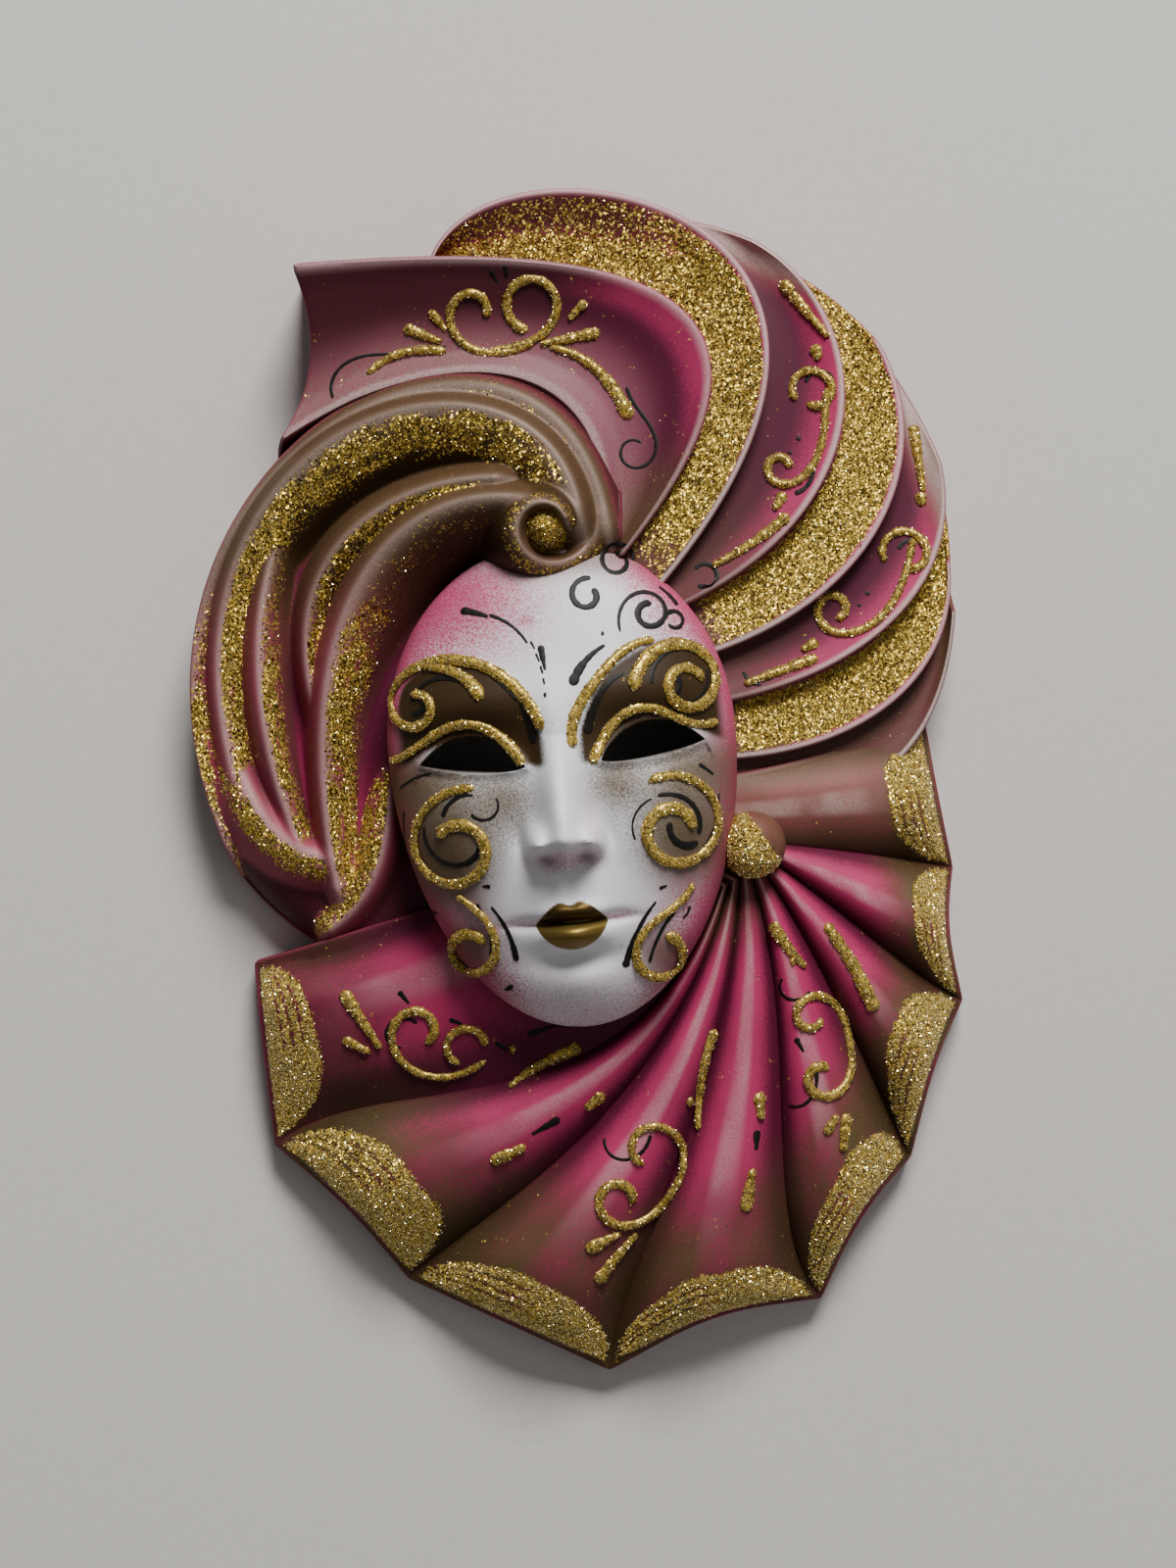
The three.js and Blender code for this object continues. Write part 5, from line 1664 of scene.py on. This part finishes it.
class MASK_OT_stage(bpy.types.Operator):
    """Builds the floor, the lights and the camera"""

    bl_idname = "mask.stage"
    bl_label = "Stage"

    def execute(self, context):
        mesh = bpy.data.meshes.new("floor")
        corners = [(x * FLOOR_HALF, y * FLOOR_HALF, 0) for x, y in ((-1, -1), (1, -1), (1, 1), (-1, 1))]
        mesh.from_pydata(corners, [], [(0, 1, 2, 3)])
        mesh.materials.append(finish(studio_paper))
        floor = bpy.data.objects.new("floor", mesh)
        context.scene.collection.objects.link(floor)
        world = bpy.data.worlds.new("studio")
        world.use_nodes = True
        fill(world.node_tree, world.node_tree.nodes["Background"], {
            "Color": rgba(linear(BACKDROP)), "Strength": BACKDROP_STRENGTH,
        })
        context.scene.world = world
        for name, (place, size, power) in LIGHTS.items():
            area_light(name, place, size, power)
        data = bpy.data.cameras.new("camera")
        data.sensor_width = SENSOR
        data.lens = SENSOR * CAMERA_Z / FRAME_TALL
        camera = bpy.data.objects.new("camera", data)
        camera.location = (np.array([CAMERA_X, CAMERA_Y, CAMERA_Z]) + np.append(CENTRING, 0)) * MM
        context.scene.collection.objects.link(camera)
        context.scene.camera = camera
        return {"FINISHED"}


class MASK_PT_panel(bpy.types.Panel):
    """Lists the mask's pieces, sizes and colours"""

    bl_idname = "MASK_PT_panel"
    bl_label = "Venetian wall mask"
    bl_space_type = "VIEW_3D"
    bl_region_type = "UI"
    bl_category = "Mask"

    def draw(self, context):
        for operator in OPERATORS:
            self.layout.operator(operator.bl_idname)
        for group in (context.scene.mask_sizes, context.scene.mask_colours):
            box = self.layout.box()
            for key in group.__annotations__:
                box.prop(group, key)


OPERATORS = (
    MASK_OT_stage,
    MASK_OT_turban,
    MASK_OT_hair,
    MASK_OT_collar,
    MASK_OT_face,
    MASK_OT_strokes,
    MASK_OT_glitter,
)
CLASSES = (MaskSizes, MaskColours, *OPERATORS, MASK_PT_panel)


def register():
    for cls in CLASSES:
        bpy.utils.register_class(cls)
    bpy.types.Scene.mask_sizes = bpy.props.PointerProperty(type=MaskSizes)
    bpy.types.Scene.mask_colours = bpy.props.PointerProperty(type=MaskColours)


def unregister():
    del bpy.types.Scene.mask_colours
    del bpy.types.Scene.mask_sizes
    for cls in reversed(CLASSES):
        bpy.utils.unregister_class(cls)


def main():
    register()
    bpy.ops.mask.stage()
    bpy.ops.mask.turban()
    bpy.ops.mask.hair()
    bpy.ops.mask.collar()
    bpy.ops.mask.face()
    bpy.ops.mask.strokes()
    bpy.ops.mask.glitter()


if __name__ == "__main__":
    main()
